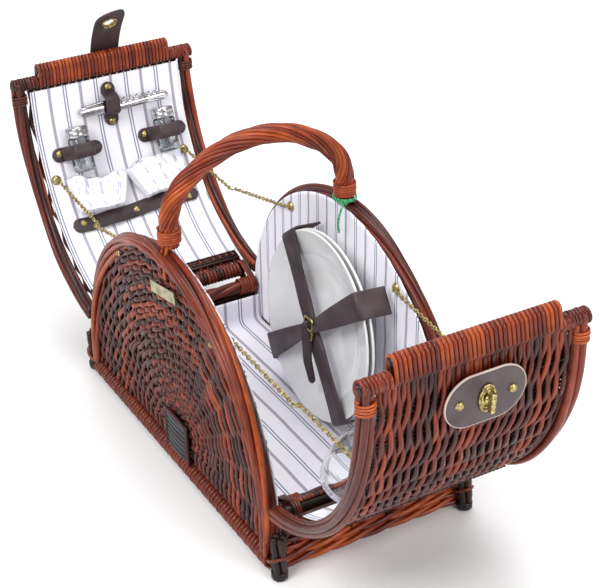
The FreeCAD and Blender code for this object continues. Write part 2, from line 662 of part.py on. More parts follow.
# ---------------------------------------------------------------- green twine on the handle


def route(points):
    """Straight runs joined by tangent arcs through these points, and the arcs' radii."""
    edges, radii, start = [], [], points[0]
    for before, corner, after in zip(points, points[1:], points[2:]):
        inward, outward = (before - corner), (after - corner)
        short = min(inward.Length, outward.Length)
        inward.normalize()
        outward.normalize()
        turn = math.pi - inward.getAngle(outward)
        radii.append(0.45 * short / math.tan(turn / 2))
        trim = 0.45 * short
        bisector = inward + outward
        bisector.normalize()
        hub = corner + bisector * (radii[-1] / math.cos(turn / 2))
        first, last = corner + inward * trim, corner + outward * trim
        edges += [Part.makeLine(start, first), Part.Arc(first, hub - bisector * radii[-1], last).toShape()]
        start = last
    edges.append(Part.makeLine(start, points[-1]))
    return edges, radii


tie_z = size("panel_top") + 1.6
tie = Part.makeTorus(size("handle_radius") + 2.0, size("twine_radius"), V(0, leg_y, tie_z), Z_AXIS)
second = Part.makeTorus(size("handle_radius") + 2.0, size("twine_radius"),
                        V(0, leg_y, tie_z + 2 * size("twine_radius") + 0.05), Z_AXIS)
knot = Part.makeSphere(2.6, V(12.5, leg_y - 8.5, tie_z + 1.9))
feature("twine_tie", joined([tie.cut(knot), second.cut(knot), knot]))
twine_points = [V(14.4, 84.9, 244.9), V(18.5, 79.5, 243.0), V(19.5, 76.5, 236.5), V(17.5, 77.0, 229.5),
                V(14.5, 78.5, 223.0), V(13.5, 80.0, 216.0)]
twine_path, twine_radii = route(twine_points)
twine = pipe(twine_path, size("twine_radius"))
feature("twine_end", twine)
path_length = sum(edge.Length for edge in twine_path)
print("twine end: length %.1f, radii %s, volume ratio %.4f" % (
    path_length, ["%.1f" % r for r in twine_radii],
    twine.Volume / (math.pi * size("twine_radius") ** 2 * path_length)))

# ---------------------------------------------------------------- checks and files

doc.recompute()
for obj in doc.Objects:
    bad = [word for word in obj.State if word in ("Invalid", "Error")]
    if bad:
        raise RuntimeError("%s is %s" % (obj.Label, bad))
os.makedirs("parts", exist_ok=True)
for obj in sub_parts:
    shape = obj.Shape
    if shape.isNull() or not shape.isValid() or not shape.Solids:
        raise RuntimeError("%s has no sound solid" % obj.Label)
    shape.exportStep("parts/%s.step" % obj.Label)
    box_of = shape.optimalBoundingBox(True, False)
    print("%-26s solids %2d volume %10.0f  x %7.1f %7.1f  y %7.1f %7.1f  z %6.1f %6.1f" % (
        obj.Label, len(shape.Solids), shape.Volume, box_of.XMin, box_of.XMax,
        box_of.YMin, box_of.YMax, box_of.ZMin, box_of.ZMax))
print("%d nodes" % len(sub_parts))
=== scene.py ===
# %% [markdown]
# A willow picnic basket in Blender, built cell by cell. The CAD model already fixes every size
# and every hinge, so this file only gives the basket its looks: each cane, strap and stripe is a
# surface worked out from a formula and put where the CAD part is. The camera comes first,
# then the makers of shapes and the one free cord, then the finishes, and then the pieces.

# %% Load the fixed frame
import math
from collections import namedtuple

import bpy
import numpy as np
from mathutils import Matrix, Vector


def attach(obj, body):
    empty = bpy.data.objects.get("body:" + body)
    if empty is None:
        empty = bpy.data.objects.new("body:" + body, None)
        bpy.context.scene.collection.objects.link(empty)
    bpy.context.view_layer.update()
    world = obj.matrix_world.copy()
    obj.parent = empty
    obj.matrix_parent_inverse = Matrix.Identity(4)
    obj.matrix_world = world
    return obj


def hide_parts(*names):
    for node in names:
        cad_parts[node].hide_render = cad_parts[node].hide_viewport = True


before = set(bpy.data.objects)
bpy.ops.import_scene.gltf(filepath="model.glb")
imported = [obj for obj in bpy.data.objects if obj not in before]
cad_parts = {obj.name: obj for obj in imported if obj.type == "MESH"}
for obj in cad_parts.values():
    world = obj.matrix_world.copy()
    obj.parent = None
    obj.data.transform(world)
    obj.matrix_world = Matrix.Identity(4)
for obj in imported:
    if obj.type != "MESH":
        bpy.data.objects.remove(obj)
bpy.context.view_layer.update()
MM = 0.001
chance = np.random.default_rng(11)

# %% [markdown]
# The camera stands a metre and a half away, high and to the side, so that both open lids, the
# fan-woven end and the inside all show. Two angles and a distance place it round the point it
# looks at, and a small roll turns it about its own line of sight.

# %% Camera
AIM, DISTANCE = Vector((0.0298, 0.0263, 0.1706)), 1.5387
SENSOR, LENS = 36.0, 94.82
azimuth, elevation, roll = (math.radians(a) for a in (61.0406, 29.6987, -1.3155))
backwards = Vector((math.sin(azimuth) * math.cos(elevation), -math.cos(azimuth) * math.cos(elevation),
                    math.sin(elevation)))
level = Vector((0, 0, 1)).cross(backwards).normalized()
upright = backwards.cross(level)
right = math.cos(roll) * level + math.sin(roll) * upright
up = math.cos(roll) * upright - math.sin(roll) * level
camera = bpy.data.objects.new("camera", bpy.data.cameras.new("camera"))
bpy.context.scene.collection.objects.link(camera)
turn = Matrix((right, up, backwards)).transposed().to_4x4()
camera.matrix_world = Matrix.Translation(AIM + backwards * DISTANCE) @ turn
camera.data.sensor_width = SENSOR
camera.data.lens = LENS
bpy.context.scene.camera = camera
print("camera at", [round(c, 3) for c in camera.matrix_world.translation])

# %% [markdown]
# Every new piece is a grid of points: canes are rings of points carried along a centre line, a
# plate is a profile turned about an axis, a cloth is a patch with a little thickness. Each maker
# below returns one Form, so forms can be joined before they become a Blender mesh. `strand` is a
# number from 0 to 1 that is the same all along a cane, and the finishes read it to give each
# cane a colour of its own. `corners` holds the UV pairs in metres, so that grain and stripes
# follow the cane or the cloth.

# %% Forms
Form = namedtuple("Form", "points faces corners strand")


def unit(v):
    """Vectors scaled to length one."""
    return v / np.maximum(np.linalg.norm(v, axis=-1, keepdims=True), 1e-12)


def joined(forms):
    """Several forms as one: the face numbers of each are moved past the points before it."""
    faces, start = [], 0
    for form in forms:
        faces += [[start + i for i in face] for face in form.faces]
        start += len(form.points)
    return Form(np.concatenate([f.points for f in forms]), faces,
                np.concatenate([f.corners for f in forms]), np.concatenate([f.strand for f in forms]))


def grid_faces(rows, columns, wrap):
    """The quads of a grid of points, row by row; wrap closes each row into a ring."""
    i, j = np.meshgrid(np.arange(rows - 1), np.arange(columns - (0 if wrap else 1)), indexing="ij")
    near, far = j, (j + 1) % columns
    return np.stack([i * columns + near, (i + 1) * columns + near,
                     (i + 1) * columns + far, i * columns + far], -1).reshape(-1, 4), i, j


def tubes(paths, normals, wide, thick, strand=None, sides=8, closed=False, section=None):
    """Rings along centre lines. A ring is an ellipse in the plane across the line: `thick` is its
    half size along the normal and `wide` its half size across, both in metres and free to vary.
    A section, pairs of (across, out) from -1 to 1, takes the ellipse's place."""
    paths = np.asarray(paths, float)
    if paths.ndim == 2:
        paths = paths[None]
    count, steps, _ = paths.shape
    normals = np.broadcast_to(np.asarray(normals, float), paths.shape)
    wide, thick = (np.broadcast_to(np.asarray(v, float), (count, steps))[..., None, None]
                   for v in (wide, thick))
    if closed:
        along = unit(np.roll(paths, -1, 1) - np.roll(paths, 1, 1))
    else:
        along = unit(np.gradient(paths, axis=1))
    normals = unit(normals - (normals * along).sum(-1, keepdims=True) * along)
    across = np.cross(along, normals)
    phi = np.arange(sides) / sides * 2 * np.pi
    outline = np.stack([np.cos(phi), np.sin(phi)], -1) if section is None else np.asarray(section, float)
    sides = len(outline)
    rings = paths[:, :, None] + wide * outline[:, :1] * across[:, :, None] \
        + thick * outline[:, 1:] * normals[:, :, None]
    if closed:
        rings = np.concatenate([rings, rings[:, :1]], 1)
        paths = np.concatenate([paths, paths[:, :1]], 1)
    rows = rings.shape[1]
    length = np.concatenate([np.zeros((count, 1)),
                             np.cumsum(np.linalg.norm(np.diff(paths, axis=1), axis=-1), 1)], 1)
    quads, i, j = grid_faces(rows, sides, True)
    girth = float(np.mean(wide) + np.mean(thick)) * np.pi
    faces, corners = [], []
    caps = [list(range(sides)), [(rows - 1) * sides + k for k in reversed(range(sides))]]
    for c in range(count):
        block = (quads + c * rows * sides).tolist()
        u = np.stack([length[c][i], length[c][i + 1], length[c][i + 1], length[c][i]], -1)
        v = np.stack([j, j, j + 1, j + 1], -1) / sides * girth
        corners.append(np.stack([u, v], -1).reshape(-1, 2))
        if not closed:
            block += [[c * rows * sides + k for k in cap] for cap in caps]
            corners.append(np.zeros((2 * sides, 2)))
        faces += block
    if strand is None:
        strand = chance.random(count)
    each = np.repeat(np.broadcast_to(np.asarray(strand, float), (count,)), rows * sides)
    return Form(rings.reshape(-1, 3), faces, np.concatenate(corners), each)


def patch(points, thick, uv, strand=0.5):
    """A thin closed sheet: the grid of points is its face, and a copy pushed back along the
    normals by `thick` is its reverse. Quads round the border close the two together."""
    rows, columns, _ = points.shape
    normals = unit(np.cross(np.gradient(points, axis=0), np.gradient(points, axis=1)))
    back = points - normals * thick
    quads = grid_faces(rows, columns, False)[0]
    size = rows * columns
    edge = np.concatenate([np.arange(columns), np.arange(1, rows) * columns + columns - 1,
                           (rows - 1) * columns + np.arange(columns - 2, -1, -1),
                           np.arange(rows - 2, 0, -1) * columns])
    following = np.roll(edge, -1)
    sides = np.stack([edge, following, following + size, edge + size], -1)
    faces = np.concatenate([quads, quads[:, ::-1] + size, sides]).tolist()
    flat = uv.reshape(-1, 2)
    corners = np.concatenate([flat[quads], flat[quads[:, ::-1]],
                              np.stack([flat[edge], flat[following], flat[following], flat[edge]], 1)])
    return Form(np.concatenate([points.reshape(-1, 3), back.reshape(-1, 3)]), faces,
                corners.reshape(-1, 2), np.full(2 * size, strand))


def turned(profile, base, axis, steps=48, strand=0.5):
    """A profile of (radius, height) pairs in mm turned about an axis: each pair becomes a ring of
    points, and a radius of 0 at either end is closed by a small fan of triangles."""
    axis = unit(np.asarray(axis, float))
    side = unit(np.cross(axis, (0, 0, 1) if abs(axis[2]) < 0.9 else (1, 0, 0)))
    other = np.cross(axis, side)
    profile = np.asarray(profile, float)
    radius, height = (profile[:, k, None, None] * MM for k in (0, 1))
    angle = (np.arange(steps) / steps * 2 * np.pi)[None, :, None]
    points = np.asarray(base) * MM + height * axis + radius * (np.cos(angle) * side + np.sin(angle) * other)
    quads, i, j = grid_faces(len(profile), steps, True)
    ends = [k for k in (0, len(profile) - 1) if profile[k, 0] < 1e-6]
    faces = []
    for quad in quads[:, ::-1].tolist():
        row = [q // steps for q in quad]
        faces.append([q - q % steps if r in ends else q for q, r in zip(quad, row)])
    corners = np.stack([np.stack([j, j, j + 1, j + 1], -1) / steps,
                        np.stack([i, i + 1, i + 1, i], -1) * 0.01],
                       -1)[:, ::-1].reshape(-1, 2)
    tidy, keep = [], []
    for n, face in enumerate(faces):
        seen = [k for k in range(4) if face[k] not in face[:k]]
        tidy.append([face[k] for k in seen])
        keep += [4 * n + k for k in seen]
    return Form(points.reshape(-1, 3), tidy, corners[keep], np.full(len(profile) * steps, strand))


def piece(name, form, material, body, replaces=(), smooth=True):
    """A Blender mesh from a form, riding on its CAD body, with its finish."""
    mesh = bpy.data.meshes.new(name)
    used = np.zeros(len(form.points), bool)
    used[np.concatenate([np.asarray(f) for f in form.faces])] = True
    number = np.cumsum(used) - 1
    mesh.from_pydata(form.points[used].tolist(), [],
                     [[int(number[k]) for k in face] for face in form.faces])
    layer = mesh.uv_layers.new(name="cane_uv")
    layer.data.foreach_set("uv", form.corners.astype(np.float32).ravel())
    tone = mesh.attributes.new("strand", "FLOAT", "POINT")
    tone.data.foreach_set("value", form.strand[used].astype(np.float32))
    mesh.polygons.foreach_set("use_smooth", np.full(len(mesh.polygons), smooth))
    mesh.update()
    obj = bpy.data.objects.new(name, mesh)
    bpy.context.scene.collection.objects.link(obj)
    mesh.materials.append(material)
    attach(obj, body)
    if replaces:
        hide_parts(*replaces)
    print("%-24s %6d faces" % (name, len(mesh.polygons)))
    return obj


# %% [markdown]
# The free end of the garden twine that ties the handle. It leaves the knot, bends over under its
# own weight and hangs beside the handle's foot. It is soft twine 2.2 mm thick and 35.4 mm long.
# A few points give its route; a smooth curve through them is sampled, and a round section is
# carried along it. The twine's finish is made further on.

# %% Twine end
TWINE = 0.0022
twine_points = np.array([(14.4, 84.9, 244.9), (18.5, 79.5, 243.0), (19.5, 76.5, 236.5), (17.5, 77.0, 229.5),
                         (14.5, 78.5, 223.0), (13.5, 80.0, 216.0)]) * MM


def smooth_route(points, each=8):
    """A quadratic B-spline that starts at the first point and ends at the last: between the middles
    of two sides it is (1-u)^2 a + 2u(1-u) p + u^2 b, where p is the corner between them."""
    middles = np.concatenate([points[:1], (points[1:-2] + points[2:-1]) / 2, points[-1:]])
    u = np.linspace(0, 1, each, endpoint=False)[:, None]
    arcs = [(1 - u) ** 2 * a + 2 * u * (1 - u) * p + u ** 2 * b
            for a, p, b in zip(middles[:-1], points[1:-1], middles[1:])]
    return np.concatenate(arcs + [points[-1:]])


route = smooth_route(twine_points)
twine_cord = piece("twine_end_cord", tubes(route, (1.0, 0.3, 0.1), TWINE / 2, TWINE / 2, 0.5), None,
                   "basket",
                   ("twine_end",))

# %% [markdown]
# Finishes. Blender works in linear light, so one function turns the hex colours, which are
# sRGB, to linear. One more adds a node, sets what it is given and links what it is handed.

# %% Finish helpers


def hex_colour(code):
    """A hex colour in linear light: each channel c goes to ((c + 0.055) / 1.055) ^ 2.4."""
    channels = [int(code[k:k + 2], 16) / 255 for k in (1, 3, 5)]
    return tuple(c / 12.92 if c <= 0.04045 else ((c + 0.055) / 1.055) ** 2.4 for c in channels) + (1.0,)


def add(tree, kind, settings=(), **inputs):
    """One node of this kind. settings are the node's own values; inputs are sockets by name, with
    _ for a space, each given a value or an output to link."""
    node = tree.nodes.new(kind)
    for key, value in dict(settings).items():
        setattr(node, key, value)
    for key, value in inputs.items():
        socket = node.inputs[int(key[1:])] if key[0] == "i" and key[1:].isdigit() \
            else node.inputs[key.replace("_", " ")]
        if isinstance(value, bpy.types.NodeSocket):
            tree.links.new(value, socket)
        else:
            socket.default_value = value
    return node


def finish_of(name):
    """A new material with an empty tree, a shader and an output, already linked."""
    material = bpy.data.materials.new(name)
    material.use_nodes = True
    tree = material.node_tree
    tree.nodes.clear()
    shader = add(tree, "ShaderNodeBsdfPrincipled")
    add(tree, "ShaderNodeOutputMaterial", Surface=shader.outputs[0])
    return material, tree, shader


def steps_of(tree, factor, stops, interpolation="LINEAR"):
    """A colour ramp over factor with these (place, hex) stops; returns its colour output."""
    ramp = add(tree, "ShaderNodeValToRGB", Fac=factor)
    ramp.color_ramp.interpolation = interpolation
    while len(ramp.color_ramp.elements) < len(stops):
        ramp.color_ramp.elements.new(0.5)
    for element, (place, code) in zip(ramp.color_ramp.elements, stops):
        element.position = place
        element.color = hex_colour(code)
    return ramp.outputs[0]


# %% [markdown]
# Willow. The canes are whole round rods, steamed and stained in a vat, then sprayed with clear
# lacquer. Each rod takes the stain differently, from orange-brown to nearly black, and the stain
# runs in streaks along the rod. The lacquer gives a small bright line along the top of each cane.
# The colour comes from `strand`, one number for each cane, and the streaks from noise that is
# stretched along the cane's own UV.

# %% Willow finishes


def willow(name, stops, gloss, streak="#140907", streak_share=0.5, spread=1.0):
    """Stained and lacquered willow: a colour for each cane, darkened in streaks along it. spread
    is how far the canes differ from each other."""
    material, tree, shader = finish_of(name)
    tone = add(tree, "ShaderNodeAttribute", {"attribute_name": "strand"}).outputs["Fac"]
    uv = add(tree, "ShaderNodeUVMap", {"uv_map": "cane_uv"}).outputs[0]
    # streaks about 12 mm long and 1 mm wide: 80 and 900 cycles to the metre
    stretched = add(tree, "ShaderNodeMapping", Vector=uv, Scale=(80, 900, 1)).outputs[0]
    place = add(tree, "ShaderNodeTexCoord").outputs["Object"]
    offset = add(tree, "ShaderNodeVectorMath", {"operation": "ADD"}, i0=stretched,
                 i1=add(tree, "ShaderNodeVectorMath", {"operation": "SCALE"}, i0=place, Scale=9).outputs[0])
    streaks = add(tree, "ShaderNodeTexNoise", Vector=offset.outputs[0], Scale=1, Detail=4).outputs["Fac"]
    # patches of stain 30 mm across
    patches = add(tree, "ShaderNodeTexNoise", Vector=place, Scale=34, Detail=3).outputs["Fac"]
    spread_tone = add(tree, "ShaderNodeMapRange", Value=tone, To_Min=0.5 - spread / 2,
                      To_Max=0.5 + spread / 2)
    shifted = add(tree, "ShaderNodeMath", {"operation": "MULTIPLY_ADD"}, i0=patches, i1=0.7,
                  i2=spread_tone.outputs[0])
    centred = add(tree, "ShaderNodeMath", {"operation": "SUBTRACT"}, i0=shifted.outputs[0], i1=0.33)
    colour = steps_of(tree, centred.outputs[0], stops)
    share = add(tree, "ShaderNodeMapRange", Value=streaks, From_Min=0.42, From_Max=0.72, To_Min=0,
                To_Max=streak_share).outputs[0]
    mixed = add(tree, "ShaderNodeMix", {"data_type": "RGBA"}, Factor=share, i6=colour,
                i7=hex_colour(streak)).outputs[2]
    tree.links.new(mixed, shader.inputs["Base Color"])
    rough = add(tree, "ShaderNodeMapRange", Value=streaks, From_Min=0.3, From_Max=0.7,
                To_Min=gloss - 0.06, To_Max=gloss + 0.16).outputs[0]
    tree.links.new(rough, shader.inputs["Roughness"])
    bump = add(tree, "ShaderNodeBump", Height=streaks, Strength=0.35, Distance=0.0006).outputs[0]
    tree.links.new(bump, shader.inputs["Normal"])
    shader.inputs["Specular IOR Level"].default_value = 0.2
    shader.inputs["Coat Weight"].default_value = 0.3
    shader.inputs["Coat Roughness"].default_value = 0.12
    return material


weave_willow = willow("stained_willow_weave", [
    (0.0, "#261412"), (0.22, "#3f1b15"), (0.5, "#5f2216"), (0.75, "#762c19"), (1.0, "#963f22")], 0.38,
    spread=0.85)
bright_willow = willow("orange_stained_willow", [
    (0.0, "#3a140e"), (0.35, "#672416"), (0.65, "#8b3519"), (1.0, "#b85522")], 0.32, "#260c08", 0.7, 1.0)
dark_willow = willow("black_brown_willow", [
    (0.0, "#130d0b"), (0.5, "#271411"), (1.0, "#431d14")], 0.45)
mauve_willow = willow("mauve_brown_willow", [
    (0.0, "#27171b"), (0.5, "#46241e"), (1.0, "#5c2b1e")], 0.45)
black_cane = willow("black_dyed_cane", [(0.0, "#1b1c20"), (0.5, "#26272c"), (1.0, "#33343a")], 0.5,
                    "#0f1013")

# %% [markdown]
# Lining. A plain-woven cotton, off-white with a faint lavender cast, printed with stripes along
# the cloth: a single grey-mauve stripe, then a pair of thin blue-grey lines, turn about. The
# pattern repeats every 37 mm. The thread bump is drawn at 0.9 mm, three times the real thread,
# so that it shows at all.

# %% Cotton finishes


def cotton(name, ground, stripes, repeat, dash=0.0):
    """Printed cotton. stripes are (centre, half width, hex) in mm within one repeat; u runs
    across them. A stripe is 1 where the distance to its centre is less than its half width. With a
    dash in mm, each stripe is broken into dashes of half that length along v."""
    material, tree, shader = finish_of(name)
    uv = add(tree, "ShaderNodeUVMap", {"uv_map": "cane_uv"}).outputs[0]
    place = add(tree, "ShaderNodeTexCoord").outputs["Object"]
    ripple = add(tree, "ShaderNodeTexNoise", Vector=place, Scale=60, Detail=2).outputs["Fac"]
    split = add(tree, "ShaderNodeSeparateXYZ", Vector=uv).outputs
    colour = None
    u = add(tree, "ShaderNodeMath", {"operation": "MULTIPLY_ADD"}, i0=ripple, i1=0.0006,
            i2=split[0]).outputs[0]
    broken = 1.0
    if dash:
        along = add(tree, "ShaderNodeMath", {"operation": "FLOORED_MODULO"}, i0=split[1],
                    i1=dash * MM).outputs[0]
        broken = add(tree, "ShaderNodeMath", {"operation": "LESS_THAN"}, i0=along,
                     i1=dash / 2 * MM).outputs[0]
    for centre, half, code in stripes:
        shifted = add(tree, "ShaderNodeMath", {"operation": "ADD"}, i0=u, i1=(repeat / 2 - centre) * MM)
        wrapped = add(tree, "ShaderNodeMath", {"operation": "FLOORED_MODULO"}, i0=shifted.outputs[0],
                      i1=repeat * MM)
        away = add(tree, "ShaderNodeMath", {"operation": "SUBTRACT"}, i0=wrapped.outputs[0],
                   i1=repeat / 2 * MM)
        far = add(tree, "ShaderNodeMath", {"operation": "ABSOLUTE"}, i0=away.outputs[0]).outputs[0]
        inside = add(tree, "ShaderNodeMapRange", Value=far, From_Min=(half + 0.25) * MM,
                     From_Max=(half - 0.1) * MM, To_Min=0, To_Max=0.92).outputs[0]
        inside = add(tree, "ShaderNodeMath", {"operation": "MULTIPLY"}, i0=inside, i1=broken).outputs[0]
        colour = add(tree, "ShaderNodeMix", {"data_type": "RGBA"}, Factor=inside,
                     i6=hex_colour(ground) if colour is None else colour, i7=hex_colour(code)).outputs[2]
    tree.links.new(colour, shader.inputs["Base Color"])
    threads = add(tree, "ShaderNodeTexWave", {"bands_direction": "X"}, Vector=uv, Scale=175,
                  Distortion=0.4).outputs["Fac"]
    weft = add(tree, "ShaderNodeTexWave", {"bands_direction": "Y"}, Vector=uv, Scale=175,
               Distortion=0.4).outputs["Fac"]
    both = add(tree, "ShaderNodeMath", {"operation": "MULTIPLY"}, i0=threads, i1=weft).outputs[0]
    soft = add(tree, "ShaderNodeMath", {"operation": "MULTIPLY_ADD"}, i0=ripple, i1=2.0, i2=both).outputs[0]
    bump = add(tree, "ShaderNodeBump", Height=soft, Strength=0.25, Distance=0.0006).outputs[0]
    tree.links.new(bump, shader.inputs["Normal"])
    shader.inputs["Roughness"].default_value = 0.9
    shader.inputs["Sheen Weight"].default_value = 0.25
    return material


STRIPE_REPEAT = 37.0
lining_cotton = cotton("striped_lining_cotton", "#f0eef6", [
    (9.0, 1.7, "#9f98a6"), (26.0, 0.6, "#59617c"), (29.2, 0.6, "#59617c")], STRIPE_REPEAT)
napkin_cotton = cotton("napkin_cotton", "#eeedf6", [
    (4.0, 0.6, "#8a92b4"), (6.6, 0.6, "#8a92b4"), (17.0, 0.5, "#a4aac4")], 26.0, 15.0)

# %% [markdown]
# Leather. Split hide with a pressed grain, dyed dark brown right through the face and left pale
# at the cut edge. The grain is a fine cellular bump about 1 mm across, the dye is uneven in soft
# patches, and handling has made the high places a little glossier.

# %% Leather finishes


def leather(name, base, worn, rough):
    """Pressed-grain leather: cells for the grain, slow noise for the dye and the shine."""
    material, tree, shader = finish_of(name)
    place = add(tree, "ShaderNodeTexCoord").outputs["Object"]
    cells = add(tree, "ShaderNodeTexVoronoi", Vector=place, Scale=900).outputs["Distance"]
    cloud = add(tree, "ShaderNodeTexNoise", Vector=place, Scale=45, Detail=5).outputs["Fac"]
    fine = add(tree, "ShaderNodeTexNoise", Vector=place, Scale=600, Detail=3).outputs["Fac"]
    colour = steps_of(tree, cloud, [(0.3, base), (0.7, worn)])
    tree.links.new(colour, shader.inputs["Base Color"])
    tree.links.new(add(tree, "ShaderNodeMapRange", Value=cloud, From_Min=0.3, From_Max=0.7,
                       To_Min=rough + 0.08, To_Max=rough - 0.08).outputs[0], shader.inputs["Roughness"])
    height = add(tree, "ShaderNodeMath", {"operation": "MULTIPLY_ADD"}, i0=fine, i1=0.6,
                 i2=cells).outputs[0]
    bump = add(tree, "ShaderNodeBump", Height=height, Strength=0.4, Distance=0.0004).outputs[0]
    tree.links.new(bump, shader.inputs["Normal"])
    return material


strap_leather = leather("dark_brown_leather", "#2c1f20", "#403033", 0.5)
lock_leather = leather("mauve_brown_leather", "#3b2e31", "#4e3f42", 0.45)
cut_leather = leather("cut_leather_edge", "#b9a096", "#d0bcae", 0.75)

# %% [markdown]
# Metals. The studs, links and lock are brass that was plated with an antique finish: the brown
# film is rubbed off the high places and stays in the hollows. The corkscrew and the caps are
# chromed steel, so they are a cool to brownish grey and show the studio in a few sharp streaks.

# %% Metal finishes


def metal(name, low, high, rough, speck):
    """Plated metal: a colour that wanders from low to high, and roughness that goes with it."""
    material, tree, shader = finish_of(name)
    place = add(tree, "ShaderNodeTexCoord").outputs["Object"]
    cloud = add(tree, "ShaderNodeTexNoise", Vector=place, Scale=speck, Detail=5).outputs["Fac"]
    tree.links.new(steps_of(tree, cloud, [(0.32, low), (0.62, high)]), shader.inputs["Base Color"])
    tree.links.new(add(tree, "ShaderNodeMapRange", Value=cloud, From_Min=0.3, From_Max=0.7,
                       To_Min=rough + 0.12, To_Max=rough - 0.05).outputs[0], shader.inputs["Roughness"])
    bump = add(tree, "ShaderNodeBump", Height=cloud, Strength=0.12, Distance=0.0003).outputs[0]
    tree.links.new(bump, shader.inputs["Normal"])
    shader.inputs["Metallic"].default_value = 1.0
    return material


aged_brass = metal("antique_brass", "#6b5a30", "#cdbb80", 0.3, 420)
chrome = metal("chromed_steel", "#8e8884", "#cfcfd3", 0.14, 70)

# %% [markdown]
# China and glass. The plates are white glazed earthenware: a smooth bright glaze over a body
# that is a little warm, so it is a plain white with a low roughness and hardly any texture, only
# the slow waves that a fired glaze has. The goblets and shakers are clear soda glass, IOR 1.5.

# %% China and glass finishes
glazed_china, tree, shader = finish_of("white_glazed_china")
place = add(tree, "ShaderNodeTexCoord").outputs["Object"]
wave = add(tree, "ShaderNodeTexNoise", Vector=place, Scale=25, Detail=2).outputs["Fac"]
tree.links.new(steps_of(tree, wave, [(0.3, "#dcdddc"), (0.7, "#e9eae8")]), shader.inputs["Base Color"])
tree.links.new(add(tree, "ShaderNodeBump", Height=wave, Strength=0.06, Distance=0.001).outputs[0],
               shader.inputs["Normal"])
shader.inputs["Roughness"].default_value = 0.12
shader.inputs["Coat Weight"].default_value = 0.4
shader.inputs["Coat Roughness"].default_value = 0.05

clear_glass, tree, shader = finish_of("clear_soda_glass")
place = add(tree, "ShaderNodeTexCoord").outputs["Object"]
wave = add(tree, "ShaderNodeTexNoise", Vector=place, Scale=90, Detail=1).outputs["Fac"]
tree.links.new(add(tree, "ShaderNodeBump", Height=wave, Strength=0.05, Distance=0.0005).outputs[0],
               shader.inputs["Normal"])
shader.inputs["Base Color"].default_value = hex_colour("#f4f8f8")
shader.inputs["Roughness"].default_value = 0.02
shader.inputs["IOR"].default_value = 1.5
shader.inputs["Transmission Weight"].default_value = 1.0

# %% [markdown]
# Twine and the plaque. Green garden twine is plied jute: two plies with a lay of about 4 mm, dull
# and hairy. The plaque is a stamped plate of pale brass-coloured alloy, left blank here.

# %% Twine and plaque finishes
garden_twine, tree, shader = finish_of("green_garden_twine")
place = add(tree, "ShaderNodeTexCoord").outputs["Object"]
plies = add(tree, "ShaderNodeTexWave", {"bands_direction": "DIAGONAL"}, Vector=place, Scale=120,
            Distortion=1.5).outputs["Fac"]
tree.links.new(steps_of(tree, plies, [(0.1, "#0d6a3c"), (0.6, "#1fa564"), (1.0, "#3cc07e")]),
               shader.inputs["Base Color"])
tree.links.new(add(tree, "ShaderNodeBump", Height=plies, Strength=0.5, Distance=0.0004).outputs[0],
               shader.inputs["Normal"])
shader.inputs["Roughness"].default_value = 0.6
shader.inputs["Sheen Weight"].default_value = 0.3
twine_cord.data.materials[0] = garden_twine

stamped_plate = metal("stamped_pale_brass", "#8d8668", "#b9b294", 0.42, 160)

# %% [markdown]
# Each lid is a quarter of an oval tube. It is easiest to weave it shut: `lid` takes the angle t
# up from the hinge, the place y along it and the height off its middle surface, and returns the
# point where that lands once the lid has been turned open about its hinge.

# %% Lid surface
HINGE_X, HINGE_Z, LID_RISE = 209.0, 71.0, 183.0
OPENING = {1: math.radians(80.0), -1: math.radians(83.5)}
BODY = {1: "front_lid", -1: "back_lid"}
TOP_BAR, RAISED_BAR = math.degrees(math.acos(22 / 209)), math.degrees(math.acos(8.5 / 209))


def opened(side, x, y, z):
    """A point drawn on the shut +X lid, in mm, put where the open lid of this side has it: it is
    turned about the hinge, mirrored for the -X side, and given in metres."""
    turn = OPENING[side]
    dx, dz = x - HINGE_X, z - HINGE_Z
    return np.stack([side * (HINGE_X + dx * math.cos(turn) + dz * math.sin(turn)), y,
                     HINGE_Z - dx * math.sin(turn) + dz * math.cos(turn)], -1) * MM


def lid(side, t, y, off=0.0):
    """A point of the open lid: shut, it is ((209 + off) cos t, y, 71 + (183 + off) sin t)."""
    t, y, off = np.broadcast_arrays(*(np.asarray(v, float) for v in (t, y, off)))
    a = np.radians(t)
    return opened(side, (HINGE_X + off) * np.cos(a), y, HINGE_Z + (LID_RISE + off) * np.sin(a))


def lid_out(side, t, y=0.0):
    """The lid's outward normal: the way a point moves as its height off the surface grows."""
    return unit(lid(side, t, y, 1.0) - lid(side, t, y, 0.0))


print("raised bar of the front lid at", np.round(lid(1, RAISED_BAR, 0), 3))

# %% [markdown]
# The lid's weaving. The canes run down the lid, side by side, over and under thick stakes that
# lie across it. Where a cane rides over a stake it spreads and hides its neighbours, which are
# underneath there, so the eye sees a brick pattern and never the stakes. Each cane starts inside
# at the hinge rod, turns round it, is woven up the lid, and turns round the bar at the top.

# %% Lid weave


def drift(rows, columns, amount):
    """Smooth random shifts: random numbers on a coarse grid, averaged with their neighbours."""
    raw = chance.normal(size=(rows, columns))
    for _ in range(3):
        raw = (np.roll(raw, 1, 0) + raw * 2 + np.roll(raw, -1, 0)) / 4
    return raw / raw.std() * amount


LID_STAKES = np.array([4.0, 8.2, 12.6, 17.2, 22.0, 27.2, 32.8, 38.8, 45.2, 52.0, 59.2, 66.6, 74.2, 82])


